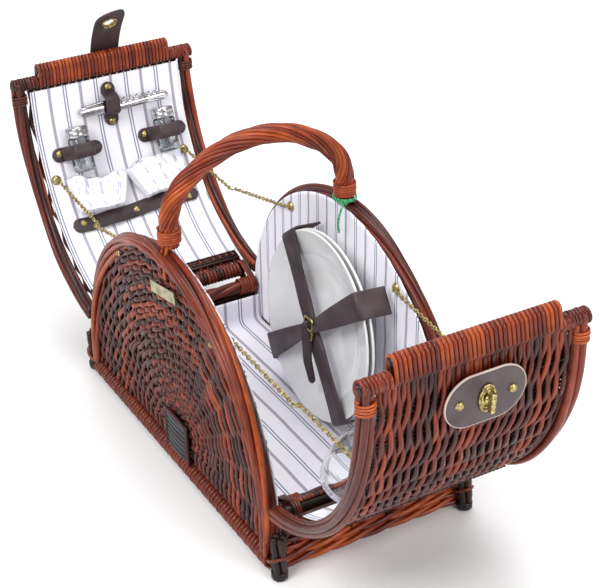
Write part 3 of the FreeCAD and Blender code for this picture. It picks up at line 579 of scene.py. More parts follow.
def lid_canes(side):
    """The woven canes of one lid: t and off run along each cane, y is its place across."""
    count = 44
    y0 = np.linspace(-89.2, 89.2, count)[:, None]
    parity = (np.arange(count) % 2)[:, None]
    wraps = np.abs(y0) < 78
    body = np.linspace(5.5, 82.5, 92)
    stake = np.interp(body, LID_STAKES, np.arange(len(LID_STAKES)))[None]
    wave = np.cos(np.pi * (stake + parity))
    ease = np.clip((83 - body) / 6, 0, 1) * np.clip((body - 5) / 3, 0, 1)
    zigzag = drift(count, len(LID_STAKES), 1.0)
    index = np.clip(stake[0], 0, len(LID_STAKES) - 1.001)
    low = index.astype(int)
    shift = zigzag[:, low] * (1 - (index - low)) + zigzag[:, low + 1] * (index - low)
    swing = np.interp(body, [5, 30, 60, 82], [0.5, 0.8, 1.5, 1.2])
    splay = 0.95 * np.sin(np.pi * stake) + 0.35 * np.sin(np.pi * (stake + parity))
    y = y0 + (splay + 0.8 * shift) * swing * ease
    off = 2.1 * wave * ease + 2.6 * (1 - ease)
    wide = 2.1 + 0.4 * wave * ease
    thick = 1.75 + 0.15 * wave
    psi = np.radians(np.linspace(-110, 80, 9))
    foot_t, foot_off = -6.6 / 3.19 * np.cos(psi), 6.6 * np.sin(psi)
    stub_t, stub_off = np.linspace(3.5, 5.2, 9), np.full(9, 1.5)
    psi = np.radians(np.linspace(85, -115, 11))
    side_t, side_off = TOP_BAR + 5.9 / 3.6 * np.cos(psi), 5.9 * np.sin(psi)
    psi = np.radians(np.concatenate([np.linspace(85, -85, 8), [0, 0, 0]]))
    high_t = RAISED_BAR + 5.5 / 3.65 * np.cos(psi)
    high_off = 5.5 * np.sin(psi)
    high_t[-3:], high_off[-3:] = TOP_BAR + np.array([1.4, 0.1, -1.3]), [-6.5, -6.6, -5.6]
    t = np.concatenate([np.where(wraps, foot_t, stub_t), np.broadcast_to(body, wave.shape),
                        np.where(wraps, TOP_BAR - 0.2, TOP_BAR - 1.2), np.where(wraps, high_t, side_t)], 1)
    off = np.concatenate([np.where(wraps, foot_off, stub_off), off,
                          np.where(wraps, 6.9, 5.2), np.where(wraps, high_off, side_off)], 1)
    ends = [np.repeat(y[:, :1], 9, 1), y, np.repeat(y0, 12, 1)]
    y = np.concatenate(ends, 1)
    wide = np.concatenate([np.full((count, 9), 1.95), wide, np.full((count, 12), 1.9)], 1)
    thick = np.concatenate([np.full((count, 9), 1.6), thick, np.full((count, 12), 1.6)], 1)
    paths = lid(side, t, y, off)
    centre_t = np.where(t < 3, 0, np.where(wraps & (t > 85.7), RAISED_BAR, TOP_BAR))
    turning = (t < 3) | (np.arange(t.shape[1]) > 100)
    normals = np.where(turning[..., None], paths - lid(side, centre_t, y, 0), lid_out(side, t, y))
    normals, strand = unit(normals), chance.random(count)
    woven = tubes(paths[:, :-10], normals[:, :-10], wide[:, :-10] * MM, thick[:, :-10] * MM, strand)
    round_bar = tubes(paths[:, -12:], normals[:, -12:], wide[:, -12:] * 1.02 * MM,
                      thick[:, -12:] * 1.03 * MM,
                      0.3 + 0.6 * strand)
    return woven, round_bar


def lid_stake_and_shade_rods(side):
    """The stakes and the canes beside them: straight dark rods across the lid, just under the weave, set
    close so that they fill the gaps of the weave with painted shade.
    """
    t = np.arange(6.0, 82.0, 1.15)[:, None]
    y = np.linspace(-89.5, 89.5, 6)[None]
    t = t + chance.normal(size=(len(t), 1)) * 0.12 + 0 * y
    return tubes(lid(side, t, y, -1.9), lid_out(side, t, y), 1.9 * MM, 1.5 * MM, sides=6)


def lid_twining(side, t):
    """A pair of thin rods that twist round each other across the face of the weave."""
    y = np.linspace(-88, 88, 133)[None]
    phase = np.pi * y / 4.15 + np.array([[0], [np.pi]])
    return tubes(lid(side, t + 0.3 * np.sin(phase) + 0.4 * np.sin(y / 31), y, 3.9 + 0.9 * np.cos(phase)),
                 lid_out(side, np.full_like(phase, t), y), 0.95 * MM, 0.8 * MM, sides=6)


for side, name in ((1, "front"), (-1, "back")):
    woven, round_bar = lid_canes(side)
    piece(name + "_lid_canes", woven, weave_willow, BODY[side], (name + "_lid_weave",))
    piece(name + "_lid_bar_turns", round_bar, bright_willow, BODY[side], (name + "_lid_raised_bar",))
    # the dark rods under the weave are stakes, and painted shade in the gaps between the canes
    piece(name + "_lid_stakes_and_painted_shade", lid_stake_and_shade_rods(side), dark_willow, BODY[side], ())
    piece(name + "_lid_twining", joined([lid_twining(side, t) for t in (15.5, 25.5)]), mauve_willow,
          BODY[side], ())

# %% [markdown]
# Frames of the lids. A lid's side is a bundle of long rods bent together along the curve, with a
# slow twist. The bar across the top runs out past the weaving as a stub, wound closely with a
# thin cane, and a few turns of pale cane lash the rods together just below it.

# %% Lid frames


def bundle(centre, normals, offsets, radius, turns, strand=None, sides=8):
    """Rods that run together: each is the centre line moved by its (across, out) offset in mm,
    which turns about the line `turns` times from end to end and swells and shrinks a little."""
    along = unit(np.gradient(centre, axis=0))
    normals = unit(normals - (normals * along).sum(-1, keepdims=True) * along)
    across = np.cross(along, normals)
    angle = np.linspace(0, turns * 2 * np.pi, len(centre))[None, :, None]
    share, order = np.linspace(0, 1, len(centre))[None, :, None], np.arange(len(offsets))[:, None, None]
    loose = 1 + 0.08 * np.sin(share * 17 + order * 2.4) * np.sin(share * np.pi) ** 0.3
    a, o = (np.array([p[k] for p in offsets])[:, None, None] * MM * loose for k in (0, 1))
    paths = (centre + (a * np.cos(angle) - o * np.sin(angle)) * across
             + (a * np.sin(angle) + o * np.cos(angle)) * normals)
    return tubes(paths, np.broadcast_to(normals, paths.shape), radius * MM, radius * MM, strand, sides)


def winding(base, axis, length, core, cane, pitch, strand=None, first=0.0):
    """A cane wound round a rod: a helix of radius core + cane that climbs by the pitch each turn.
    All in mm, with base where the winding starts."""
    axis = unit(np.asarray(axis, float))
    side = unit(np.cross(axis, (0, 0, 1) if abs(axis[2]) < 0.9 else (1, 0, 0)))
    other = np.cross(axis, side)
    count = max(3, int(round(length / pitch * 14)))
    share = np.linspace(0, 1, count)[:, None]
    angle = share * length / pitch * 2 * np.pi + first
    out = np.cos(angle) * side + np.sin(angle) * other
    reach = core + cane + 0.25 * np.sin(angle * 0.37 + 1)
    path = (np.asarray(base, float) + axis * share * length + out * reach) * MM
    return tubes(path, out, cane * 1.12 * MM, cane * 0.95 * MM, strand, 6)


def across_lid(side, t, y0, y1, off, core, cane, pitch):
    """A winding round a bar that lies across the lid at t, from y0 to y1."""
    base = lid(side, t, y0, off) / MM
    return winding(base, (0, 1 if y1 > y0 else -1, 0), abs(y1 - y0), core, cane, pitch)


ROD_ENDS = [(0, 0), (3.6, 0), (4.9, 0.5), (5.4, 1.6), (5.4, 6)]
for side, name in ((1, "front"), (-1, "back")):
    rails, stubs, lashings, cores = [], [], [], []
    for hand in (-1, 1):
        t = np.linspace(-1.5, 85.0, 60)
        centre = lid(side, t, hand * 101.0 + 0.8 * np.sin(t / 17), 0)
        rails.append(bundle(centre, lid_out(side, t), [(-3.3, 2.9), (3.4, 2.6), (-2.9, -3.3), (3.1, -3.2)],
                            3.35, 0.35 * hand))
        bow = lid(side, t[4:50], hand * (96 + 3.5 * np.sin(t[4:50] / 11) + 2),
                  4.4 * np.sin(t[4:50] / 14 + 1))
        rails.append(tubes(bow, lid_out(side, t[4:50]), 1.7 * MM, 1.7 * MM))
        stubs.append(across_lid(side, TOP_BAR, hand * 80.0, hand * 107.0, 0, 4.6, 1.6, 3.3))
        bar_end = lid(side, TOP_BAR, hand * 108.0, 0) / MM
        cores.append(turned(ROD_ENDS, bar_end, (0, -hand, 0), 20, 0.1))
        place = lid(side, 79.5, hand * 101.0, 0)
        run = unit(lid(side, 80.5, hand * 101.0, 0) - lid(side, 78.5, hand * 101.0, 0))
        lashings.append(winding(place / MM - run * 6.5, run, 12.5, 6.7, 1.1, 2.75, strand=0.95))
    y = np.linspace(-107, 107, 40)
    cores.append(tubes(lid(side, TOP_BAR, y, 0), lid_out(side, np.full(40, TOP_BAR)), 4.8 * MM,
                       4.8 * MM, 0.2))
    y = np.linspace(-78.6, 78.6, 30)
    cores.append(tubes(lid(side, RAISED_BAR, y, 0), lid_out(side, np.full(30, TOP_BAR)), 4.4 * MM,
                       4.4 * MM, 0.2))
    piece(name + "_lid_side_rods", joined(rails), weave_willow, BODY[side],
          (name + "_lid_rails",))
    piece(name + "_lid_stubs", joined(stubs), bright_willow, BODY[side], ())
    piece(name + "_lid_bars", joined(cores), dark_willow, BODY[side], ())
    piece(name + "_lid_lashings", joined(lashings), bright_willow if side > 0 else mauve_willow, BODY[side],
          (name + "_lid_bindings",))
    y = np.linspace(-93.5, 93.5, 60)
    rod = tubes(lid(side, 0, y, 0), lid_out(side, np.full(60, 0.0)), 5.0 * MM, 5.0 * MM, 0.15, 10)
    ends = [turned([(r * 0.93, h) for r, h in ROD_ENDS], lid(side, 0, hand * 94.0, 0) / MM, (0, -hand, 0),
                   20, 0.1)
            for hand in (-1, 1)]
    piece(name + "_lid_pivot_rod", joined([rod] + ends), dark_willow, BODY[side],
          (name + "_lid_hinge_rod",))

# %% [markdown]
# The fan. Its ribs spread from the wound block at the foot of the end panel, and the weaving goes
# round the block in arches that grow until they match the rim. One arch k, from 0 at the block to
# 1 at the rim, is half an oval with a short leg at each end; along it, the canes go over one rib
# and under the next. Past half way there is room for twice as many ribs.

# %% Fan panels
ARCH_Z = 36.0


def arch(k, angle, reach_x, reach_z, start_x, start_z, centre):
    """A point (x, z) of arch k at an angle in degrees: x = c + a cos, z = 36 + b sin, where the
    centre c slides to the middle and a and b grow in even steps from the block to the rim."""
    a = start_x + (reach_x - start_x) * k
    b = start_z + (reach_z - start_z) * k
    bent = np.radians(angle)
    return centre * (1 - k) + a * np.cos(bent), ARCH_Z + b * np.sin(bent)


def rib_count(angle, k):
    """How many ribs lie between the right foot and this angle. They stand closer over the top."""
    low = np.interp(angle, [-12, 0, 12, 24, 36, 47, 57, 66, 75, 84, 93, 102, 111, 120, 130, 142, 156, 168,
                            180, 192],
                    np.arange(20))
    return np.where((k > 0.52) & (angle > 62), 2 * low - 7, low)


def fan(sign, centre):
    """The woven arches of one end panel, the ribs, and dark canes behind that fill the gaps with painted
    shade.
    """
    rows, steps = 33, 150
    k = np.linspace(0.0, 1.0, rows)[:, None]
    angle = np.linspace(-7, 187, steps)[None] + 0 * k
    parity = (np.arange(rows) % 2)[:, None]
    mirrored = angle if centre > 0 else 180 - angle
    ribs = rib_count(mirrored, k)
    wave = np.cos(np.pi * (ribs + parity))
    calm = np.clip((1 - k) / 0.03, 0.4, 1)
    loose = drift(rows, steps, 1.0)
    for _ in range(14):
        loose = (loose[:, [0] + list(range(steps - 1))] + loose
                 + loose[:, list(range(1, steps)) + [-1]]) / 3
    step = 1 / (rows - 1)
    shifted = k + step * (0.2 * np.sin(np.pi * (ribs + parity)) * np.interp(mirrored, [0, 50, 85],
                                                                            [1.7, 0.9, 0.25])
                          + 0.9 * loose) * calm
    x, z = arch(np.clip(shifted, 0, 1.0), angle, 184.0, 191.5, 27.0, 31.0, centre)
    z = np.where(angle < 0, ARCH_Z + angle * 2.2, np.where(angle > 180, ARCH_Z - (angle - 180) * 2.2, z))
    edge = np.abs(np.interp(angle, [-7, 0, 180, 187], [0, 0, 180, 180]))
    x = np.where((angle < 0) | (angle > 180), arch(k, edge, 184.0, 191.5, 27.0, 31.0, centre)[0], x)
    y = sign * (101.4 + 1.7 * wave)
    points = np.stack([x, y + 0 * x, z], -1) * MM
    wide = 2.6 + 0.22 * wave
    out = np.array([0, sign, 0.0])
    canes = tubes(points, out, wide * MM, (1.75 + 0 * wide) * MM, sides=8)
    angle = np.linspace(0, 180, 80)[None]
    k = (np.linspace(0.0, 1.0, rows)[:-1, None] + step / 2)
    x, z = arch(k, angle, 184.0, 191.5, 27.0, 31.0, centre)
    # dark canes behind the rows: painted shade that fills the gaps of the weave
    behind = tubes(np.stack([x, np.full_like(x, sign * 98.2), z], -1) * MM, out, 3.1 * MM, 1.1 * MM,
                   sides=6)
    share = np.linspace(0, 1, 30)[None]
    angles = np.interp(np.arange(1, 19), rib_count(np.arange(-12.0, 193), 0.0),
                       np.arange(-12.0, 193))[:, None]
    x, z = arch(share, angles, 184.0, 191.5, 24.0, 27.0, abs(centre))
    x = x * np.sign(centre)
    ribs = tubes(np.stack([x, np.full_like(x, sign * 101.6), z], -1) * MM, out, 1.7 * MM, 1.9 * MM, sides=6)
    # three more dark rows low down behind the weave, also painted shade
    flat = np.stack([np.linspace(-184, 184, 60), np.full(60, sign * 98.4), np.full(60, 0)], -1)
    floor_rows = [tubes((flat + (0, 0, z)) * MM, out, 2.9 * MM, 1.4 * MM) for z in (22, 27.5, 33)]
    return canes, joined([behind] + floor_rows), ribs


for name, sign, centre in (("front", -1, 14.0), ("back", 1, -14.0)):
    canes, behind, ribs = fan(sign, centre)
    piece(name + "_fan_canes", canes, weave_willow, "basket", (name + "_panel",))
    # the dark canes behind each fan are painted shade in the gaps of the weave
    piece(name + "_fan_shade_backing_canes", behind, dark_willow, "basket", ())
    piece(name + "_fan_ribs", ribs, mauve_willow, "basket", ())

# %% [markdown]
# The rim of each end panel is a bundle of long rods that follow the arch and twist slowly round each other.
# The front rim is among the brightest canes on the basket. The back rim, whose inner side lies in shadow,
# takes the darker finish of the weaving as painted shade.

# %% Rims


def arch_line(inset, count):
    """The rim's centre line: the arch pulled in by inset, with short straight legs to the floor."""
    bent = np.radians(np.linspace(0, 180, count))
    x, z = (200 - inset) * np.cos(bent), ARCH_Z + (207 - inset) * np.sin(bent)
    leg = np.linspace(18, ARCH_Z - 2, 5)
    return np.concatenate([x[:1].repeat(5), x, x[-1:].repeat(5)]), np.concatenate([leg, z, leg[::-1]])


RIM_RODS = [(-5.6, 3.0), (0.0, 3.6), (5.6, 2.9), (-5.4, -3.1), (0.2, -3.4), (5.6, -3.0)]
for name, sign in (("front", -1), ("back", 1)):
    x, z = arch_line(8.8, 150)
    centre = np.stack([x, np.full_like(x, sign * 101.0), z], -1) * MM
    out = np.stack([x / 200 ** 2, 0 * x, np.maximum(z - ARCH_Z, 0) / 207 ** 2], -1)
    rods = bundle(centre, unit(out), RIM_RODS, 3.05, sign, [0.85, 0.3, 0.6, 0.5, 0.15, 0.4])
    # two looser rods lie along the outside and wander a little
    extra = []
    for shift, phase in ((-1.5, 0.0), (3.4, 2.0)):
        wander = np.sin(np.linspace(0, 9, len(x)) + phase)
        y = sign * (106.0 + 1.2 * wander)
        extra.append(tubes(np.stack([x * (1 + (shift + wander) / 200), y,
                                     z * (1 + (shift + wander) / 260)], -1) * MM,
                           (0, sign, 0), 2.6 * MM, 2.4 * MM))
    # the back rim's darker weaving finish is painted shade for its shadowed inner side
    piece(name + "_rim_rods", joined([rods] + extra), bright_willow if sign < 0 else weave_willow,
          "basket", (name + "_rim",))

# %% [markdown]
# The handle is a core of thick rods with fourteen thinner ones laid round it like a rope, at
# about fifteen degrees to its length. It is bound with one cane at each foot, and below the
# binding the ends of the outer rods are pushed down into the rim.

# %% Handle
SPRING_Z, SHOULDER, LEG_Y, CROWN_Z = 265.0, 50.0, 95.0, 333.0
lean = math.pi / 2 - 2 * math.atan((CROWN_Z - SPRING_Z - SHOULDER) / (LEG_Y - SHOULDER))
crown = SHOULDER + (LEG_Y - SHOULDER) / math.cos(lean)


def handle_line(count):
    """The handle's centre line in the YZ plane: a leg, a shoulder arc, the crown arc, and back."""
    leg = np.linspace(244.0, SPRING_Z - 1, 8)
    first = np.linspace(0, lean, 14)
    over = np.linspace(lean, math.pi - lean, count)[1:-1]
    half_y = np.concatenate([0 * leg + LEG_Y, LEG_Y - SHOULDER + SHOULDER * np.cos(first)])
    half_z = np.concatenate([leg, SPRING_Z + SHOULDER * np.sin(first)])
    y = np.concatenate([-half_y, -crown * np.cos(over), half_y[::-1]])
    z = np.concatenate([half_z, CROWN_Z - crown + crown * np.sin(over), half_z[::-1]])
    return np.stack([0 * y, y, z], -1) * MM


line = handle_line(40)
outwards = unit(line - np.array([0, 0, 0.215]))
ring = np.arange(14) / 14 * 2 * np.pi
rods = bundle(line, outwards, list(zip(7.55 * np.cos(ring), 7.55 * np.sin(ring))), 1.85, -1.95, sides=8,
              strand=0.35 + 0.6 * chance.random(14))
core = tubes(line, outwards, 6.6 * MM, 6.6 * MM, 0.15, 12)
prongs = []
for hand in (-1, 1):
    for x, reach, out in ((-6.5, 218, 4.0), (5.5, 214, 6.5), (0.5, 222, 8.0)):
        z = np.linspace(250, reach, 12)
        down = (250 - z) / (250 - reach)
        path = np.stack([x * (0.9 + 0.5 * down),
                         hand * (LEG_Y + 4 + out * np.sin(down * np.pi * 0.6)), z], -1)
        prongs.append(tubes(path * MM, (0, hand, 0), 1.9 * MM, 1.7 * MM))
piece("handle_rods", joined([rods, core] + prongs), bright_willow, "basket", ("handle",))
bindings = [winding((0, hand * LEG_Y, 248.6), (0, 0, 1), 13.8, 9.35, 1.25, 2.55, strand=0.75)
            for hand in (-1, 1)]
piece("handle_wrapping", joined(bindings), bright_willow, "basket", ("handle_bindings",))

# %% [markdown]
# The base. A thick rod lies along the foot of each end panel, and the ends of the fan's canes
# turn down over it, side by side. Short posts stand at the corners on their round ends. Low walls
# woven along Y close the long sides, with a heavy twisted border at the foot and a sill on top
# that the hinge loops hang from.

# %% Base
foot_wraps, posts, borders, walls, wall_stakes, sills, loops = [], [], [], [], [], [], []
for hand in (-1, 1):
    foot_wraps.append(winding((-196, hand * 101.0, 11.5), (1, 0, 0), 392, 5.4, 2.1, 5.2))
    x = np.linspace(-199, 199, 20)
    foot_wraps.append(tubes(np.stack([x, 0 * x + hand * 101.0, 0 * x + 11.5], -1) * MM, (0, 0, 1), 5.2 * MM,
                            5.2 * MM, 0.1))
    for side in (-1, 1):
        at = np.array([side * 209.0, hand * 101.0])
        z = np.linspace(1.5, 46, 12)
        line = np.stack([0 * z + at[0], 0 * z + at[1], z], -1) * MM
        posts.append(bundle(line, (0, 1, 0), [(-3.2, -3.2), (3.2, -3.2), (3.2, 3.2), (-3.2, 3.2)],
                            3.4, 0.15))
        posts.append(turned([(0, 0), (5.6, 0), (7.2, 1), (7.9, 3), (7.9, 8), (6.5, 9), (0, 9)],
                            (*at, 0), (0, 0, 1), 24, 0.05))
        # one long loop from the panel's foot round the post, and another up to the pivot rod
        share = np.linspace(0, 2 * np.pi, 40, endpoint=False)
        loop = np.stack([at[0] - side * 3 + 9.6 * np.cos(share), at[1] + 8.4 * np.sin(share),
                         20 + 6 * np.cos(share) * side], -1)
        loops.append(tubes(loop * MM, (0, 0, 1), 1.6 * MM, 1.6 * MM, closed=True))
for side in (-1, 1):
    y = np.linspace(-99, 99, 90)
    for height, reach in ((7.5, 200.5), (15.5, 199.0)):
        line = np.stack([0 * y + side * reach, y, 0 * y + height], -1) * MM
        borders.append(bundle(line, (0, 0, 1), [(-2.6, 1.6), (2.6, 1.6), (0, -2.8)], 2.6, 2.2 * side,
                              strand=[0.9, 0.75, 0.4]))
    rows = np.arange(22.0, 51.0, 4.3)[:, None]
    y = np.linspace(-89.5, 89.5, 90)[None]
    parity = (np.arange(len(rows)) % 2)[:, None]
    wave = np.cos(np.pi * (y / 20 + parity))
    face = np.stack([side * (199.0 + 1.9 * wave) + 0 * rows, y + 0 * rows, rows + 0 * y], -1)
    walls.append(tubes(face * MM, (side, 0, 0), 2.4 * MM, 1.8 * MM))
    face[..., 0] = side * 194.0
    face[..., 2] += 2.1
    walls.append(tubes(face * MM, (side, 0, 0), 2.4 * MM, 2.2 * MM, 0.1))
    for place in np.arange(-80.0, 81, 20):
        z = np.linspace(9, 52, 8)
        wall_stakes.append(tubes(np.stack([0 * z + side * 199.0, 0 * z + place, z], -1) * MM, (side, 0, 0),
                                 2.2 * MM, 2.0 * MM, 0.2))
    y = np.linspace(-89.8, 89.8, 70)
    line = np.stack([0 * y + side * 190.0, y, 0 * y + 60.0], -1) * MM
    sills.append(bundle(line, (0, 0, 1), [(-3.9, 0.2), (0.4, 3.9), (3.9, 0.3), (0, -3.8)], 3.7, 1.3))
    for place in (-74.0, 76.0):
        sills.append(winding((side * 190.0, place - 8, 60.0), (0, 1, 0), 14, 7.6, 1.0, 2.3, strand=0.8))
    # a hinge loop is the belt round two circles: the point furthest out in each direction
    for hand in (-1, 1):
        for shift in (-2.5, 0.2, 2.7):
            bent = np.linspace(0, 2 * np.pi, 32, endpoint=False)
            out = np.stack([np.cos(bent), np.sin(bent)], -1)
            circles = [(np.array([HINGE_X, HINGE_Z]), 8.2), (np.array([190.0, 61.0]), 9.6)]
            reach = np.stack([out @ c + r for c, r in circles])
            pick = reach.argmax(0)
            belt = np.array([circles[k][0] + out[n] * circles[k][1] for n, k in enumerate(pick)])
            path = np.stack([side * belt[:, 0], 0 * bent + hand * 84.0 + shift, belt[:, 1]], -1) * MM
            normal = np.stack([side * out[:, 0], 0 * bent, out[:, 1]], -1)
            loops.append(tubes(path, normal[None], 1.3 * MM, 1.3 * MM, closed=True))
piece("foot_rail_canes", joined(foot_wraps), weave_willow, "basket", ("bottom_rails",))
piece("corner_post_rods", joined(posts), dark_willow, "basket", ("corner_posts",))
piece("border_rods", joined(borders), bright_willow, "basket", ())
piece("side_wall_canes", joined(walls), weave_willow, "basket", ("side_walls",))
piece("side_wall_stakes", joined(wall_stakes), dark_willow, "basket", ())
piece("sill_rods", joined(sills), weave_willow, "basket", ("sills",))
piece("hinge_loop_canes", joined(loops), weave_willow, "basket", ("hinge_loops",))

# %% [markdown]
# The linings are cut from the striped cotton and stitched to the canes round their edges. They
# are patches of points with UV in metres: u runs across the stripes, so they keep their pitch
# where the cloth curves. Between the stitches the cloth is a little slack.

# %% Linings


def slack(a, b, depth):
    """Soft hollows between the stitches: the sum of three slow waves in two directions."""
    return depth * (np.sin(a * 0.043 + 1.3) * np.sin(b * 0.061 + 0.4) + 0.5 * np.sin(a * 0.11 + b * 0.05)
                    + 0.4 * np.sin(b * 0.17 + a * 0.021))


ARCH_HALF, ARCH_TOP, LINING_FOOT = 194.0, 201.0, 20.5
for name, sign in (("front", -1), ("back", 1)):
    share = np.linspace(-1, 1, 121)[:, None] * sign
    rise = np.linspace(0, 1, 50)[None]
    x = ARCH_HALF * np.sin(share * np.pi / 2) + 0 * rise
    top = ARCH_Z + ARCH_TOP * np.sqrt(np.maximum(1 - (x / ARCH_HALF) ** 2, 0))
    z = LINING_FOOT + (top - LINING_FOOT) * rise
    inner = np.clip((1 - np.hypot(x / 180, (z - 60) / 160)) * 3, 0, 1)
    pucker = 0.5 * np.sin(np.degrees(np.arctan2(z - ARCH_Z, x)) * 0.9) * np.clip(rise * 6 - 5, 0, 1)
    y = sign * (90.6 - inner * (0.9 + slack(x, z, 0.7)) + np.clip(pucker, 0, 1))
    form = patch(np.stack([x, y, z], -1) * MM, 1.0 * MM, np.stack([x, z], -1) * MM)
    obj = piece(name + "_panel_cloth", form, lining_cotton, "basket", (name + "_panel_lining",))

for side, name in ((1, "front"), (-1, "back")):
    t = np.linspace(9, 81.5, 90)[:, None]
    y = np.linspace(-90, 90, 61)[None] * side
    edge = np.clip((90 - np.abs(y)) / 12, 0, 1) * np.clip((t - 9) / 6, 0, 1) * np.clip((81.5 - t) / 6, 0, 1)
    points = lid(side, t, y, -4.95 - edge * 0.4 * (1 + slack(t * 3, y, 0.6)))
    run = np.concatenate([[0], np.cumsum(np.linalg.norm(np.diff(points[:, 30], axis=0), axis=-1))])
    form = patch(points, 1.0 * MM, np.stack([(y + 3.0) * MM + 0 * t, run[:, None] + 0 * y], -1))
    obj = piece(name + "_lid_cloth", form, lining_cotton, BODY[side], (name + "_lid_lining",))
    print(name, "lid cloth is", round(float(run[-1]) * 1000), "mm long")

corner = np.radians(np.linspace(180, 270, 7))
left = np.stack([-172.5 + 7.2 * np.cos(corner), 26.7 + 7.2 * np.sin(corner)], -1)
flat = np.stack([np.linspace(-160, 160, 60), np.full(60, 19.5)], -1)
rise = np.stack([np.full(6, -179.7), np.linspace(50, 30, 6)], -1)
half = np.concatenate([rise, left])
line = np.concatenate([half, flat, half[::-1] * (-1, 1)])
y = np.linspace(-89.4, 89.4, 50)[None]
x, z = line[:, :1] + 0 * y, line[:, 1:] + 0 * y
inside = np.clip((160 - np.abs(x)) / 30, 0, 1) * np.clip((88 - np.abs(y)) / 20, 0, 1)
z = z + inside * 0.5 * (1 + slack(x, y, 0.8))
run = np.concatenate([[0], np.cumsum(np.linalg.norm(np.diff(line, axis=0), axis=-1))])[:, None]
form = patch(np.stack([x, y + 0 * x, z], -1) * MM, 1.0 * MM, np.stack([y + 0 * x, run + 0 * y], -1) * MM)
obj = piece("floor_cloth", form, lining_cotton, "basket", ("floor_lining",))
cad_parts["floor_board"].data.materials.clear()
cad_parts["floor_board"].data.materials.append(dark_willow)

# %% [markdown]
# Blocks and plaque. The fan starts from a small block wound with flat black-dyed cane, framed by
# brown cane. On the front fan a blank plate of pale metal is pinned above it, turned a little
# with the weave.

# %% Fan blocks and plaque
FLAT_CANE = [(-1, -0.6), (-0.9, 0.6), (-0.45, 1.0), (0.45, 1.0), (0.9, 0.6), (1, -0.6)]
strips, frames = [], []
for sign, x0 in ((-1, 14.0), (1, -14.0)):
    for n in range(7):
        z = 24.6 + n * 5.6
        x = np.linspace(-21.5, 21.5, 14)
        path = np.stack([x0 + x, 0 * x + sign * (107.2 + 0.5 * np.cos(x / 9)), z + 0.02 * x], -1)
        strips.append(tubes(path * MM, (0, sign, 0), 2.9 * MM, 1.5 * MM, section=FLAT_CANE))
    for line in ([(-24, 21), (-23.4, 40), (-22.5, 62)], [(24, 21), (23.4, 40), (22.5, 62)],
                 [(-24, 62.5), (0, 63.5), (24, 62.5)]):
        share = np.linspace(0, 2, 16)
        at = np.stack([np.interp(share, range(3), [p[k] for p in line]) for k in (0, 1)], -1)
        path = np.stack([x0 + at[:, 0], 0 * share + sign * 107.4, at[:, 1]], -1)
        frames.append(tubes(path * MM, (0, sign, 0), 2.2 * MM, 2.0 * MM))
piece("fan_block_canes", joined(strips), black_cane, "basket", ("fan_blocks",))
piece("fan_block_frames", joined(frames), weave_willow, "basket", ())
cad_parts["plaque"].data.materials.clear()
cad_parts["plaque"].data.materials.append(stamped_plate)

# %% [markdown]
# Plates. Two white plates stand on edge one behind the other, leaning back a few degrees. One
# profile, turned about the plate's axis, gives the flat well, the shoulder, the flared rim with
# its rolled lip, and the foot ring on the back.

# %% Plates
TILT = math.radians(84.8)
plate_x, plate_up, plate_face = (np.array(v) for v in (
    (1.0, 0, 0), (0, math.cos(TILT), math.sin(TILT)), (0, -math.sin(TILT), math.cos(TILT))))
PLATE_AT = np.array([20.0, 47.0, 122.0])
PLATE = [(0, 12.8), (20, 12.8), (40, 12.75), (55, 12.6), (60, 12.2), (65, 10.9), (69.5, 8.4),
         (73, 6.6), (76, 5.7), (84, 4.1), (92, 1.9), (96, 0.7), (97.6, 0.15), (98.3, 0.5), (98.5, 1.4),
         (98.0, 2.4), (96, 3.2), (90, 5.0), (82, 7.4), (75, 9.6), (70, 12.4), (66, 14.6), (63.6, 16),
         (60.5, 16), (59.5, 15), (40, 14.9), (0, 14.9)]


def on_plate(x, up, out):
    """A point in the plates' own frame, in mm: x along the plate, up its face, out towards the front."""
    x, up, out = np.broadcast_arrays(*(np.asarray(v, float)[..., None] for v in (x, up, out)))
    return (PLATE_AT + x * plate_x + up * plate_up + out * plate_face) * MM


for step, name in enumerate(("front_plate", "rear_plate")):
    form = turned(PLATE, PLATE_AT - plate_face * 6.5 * step, -plate_face, 96)
    piece(name + "_china", form, glazed_china, "basket", (name,))

# %% [markdown]
# Straps are cut from leather 2.4 mm thick. A strap is a flat section with softened corners that
# is carried along a path, and its half width may change on the way, so a round end is just a
# width that shrinks like a circle. The two plate straps cross, narrow where they are pulled
# together, and turn back behind the plates. A brass buckle joins them, and its loose tongue
# hangs down.

# %% Plate straps
STRAP = [(-1, -0.35), (-1, 0.35), (-0.93, 1), (0, 1.12), (0.93, 1), (1, 0.35), (1, -0.35), (0.93, -1),
         (0, -1), (-0.93, -1)][::-1]


def rounded(points, count, tight=5):
    """A smooth line through corner points: even steps along the straight runs, then averaged with
    the neighbours a few times so that the corners turn softly."""
    points = np.asarray(points, float)
    run = np.concatenate([[0], np.cumsum(np.linalg.norm(np.diff(points, axis=0), axis=1))])
    at = np.linspace(0, run[-1], count)
    line = np.stack([np.interp(at, run, points[:, k]) for k in range(points.shape[1])], -1)
    for _ in range(tight):
        line[1:-1] = (line[:-2] + line[1:-1] * 2 + line[2:]) / 4
    return line


def strap(path, out, half, thick=1.2, round_ends=(False, False)):
    """Leather along a path in metres. half is its half width in mm, along the path or one value."""
    steps = np.concatenate([[0], np.cumsum(np.linalg.norm(np.diff(path, axis=0), axis=1))]) / MM
    half = np.broadcast_to(np.asarray(half, float), len(path)).copy()
    for flag, away in ((round_ends[0], steps), (round_ends[1], steps[-1] - steps)):
        if flag:
            near = away < half
            half[near] = np.sqrt(np.maximum(half[near] ** 2 - (half[near] - away[near]) ** 2, 0.3))
    return tubes(path, out, half * MM, thick * MM, section=STRAP)


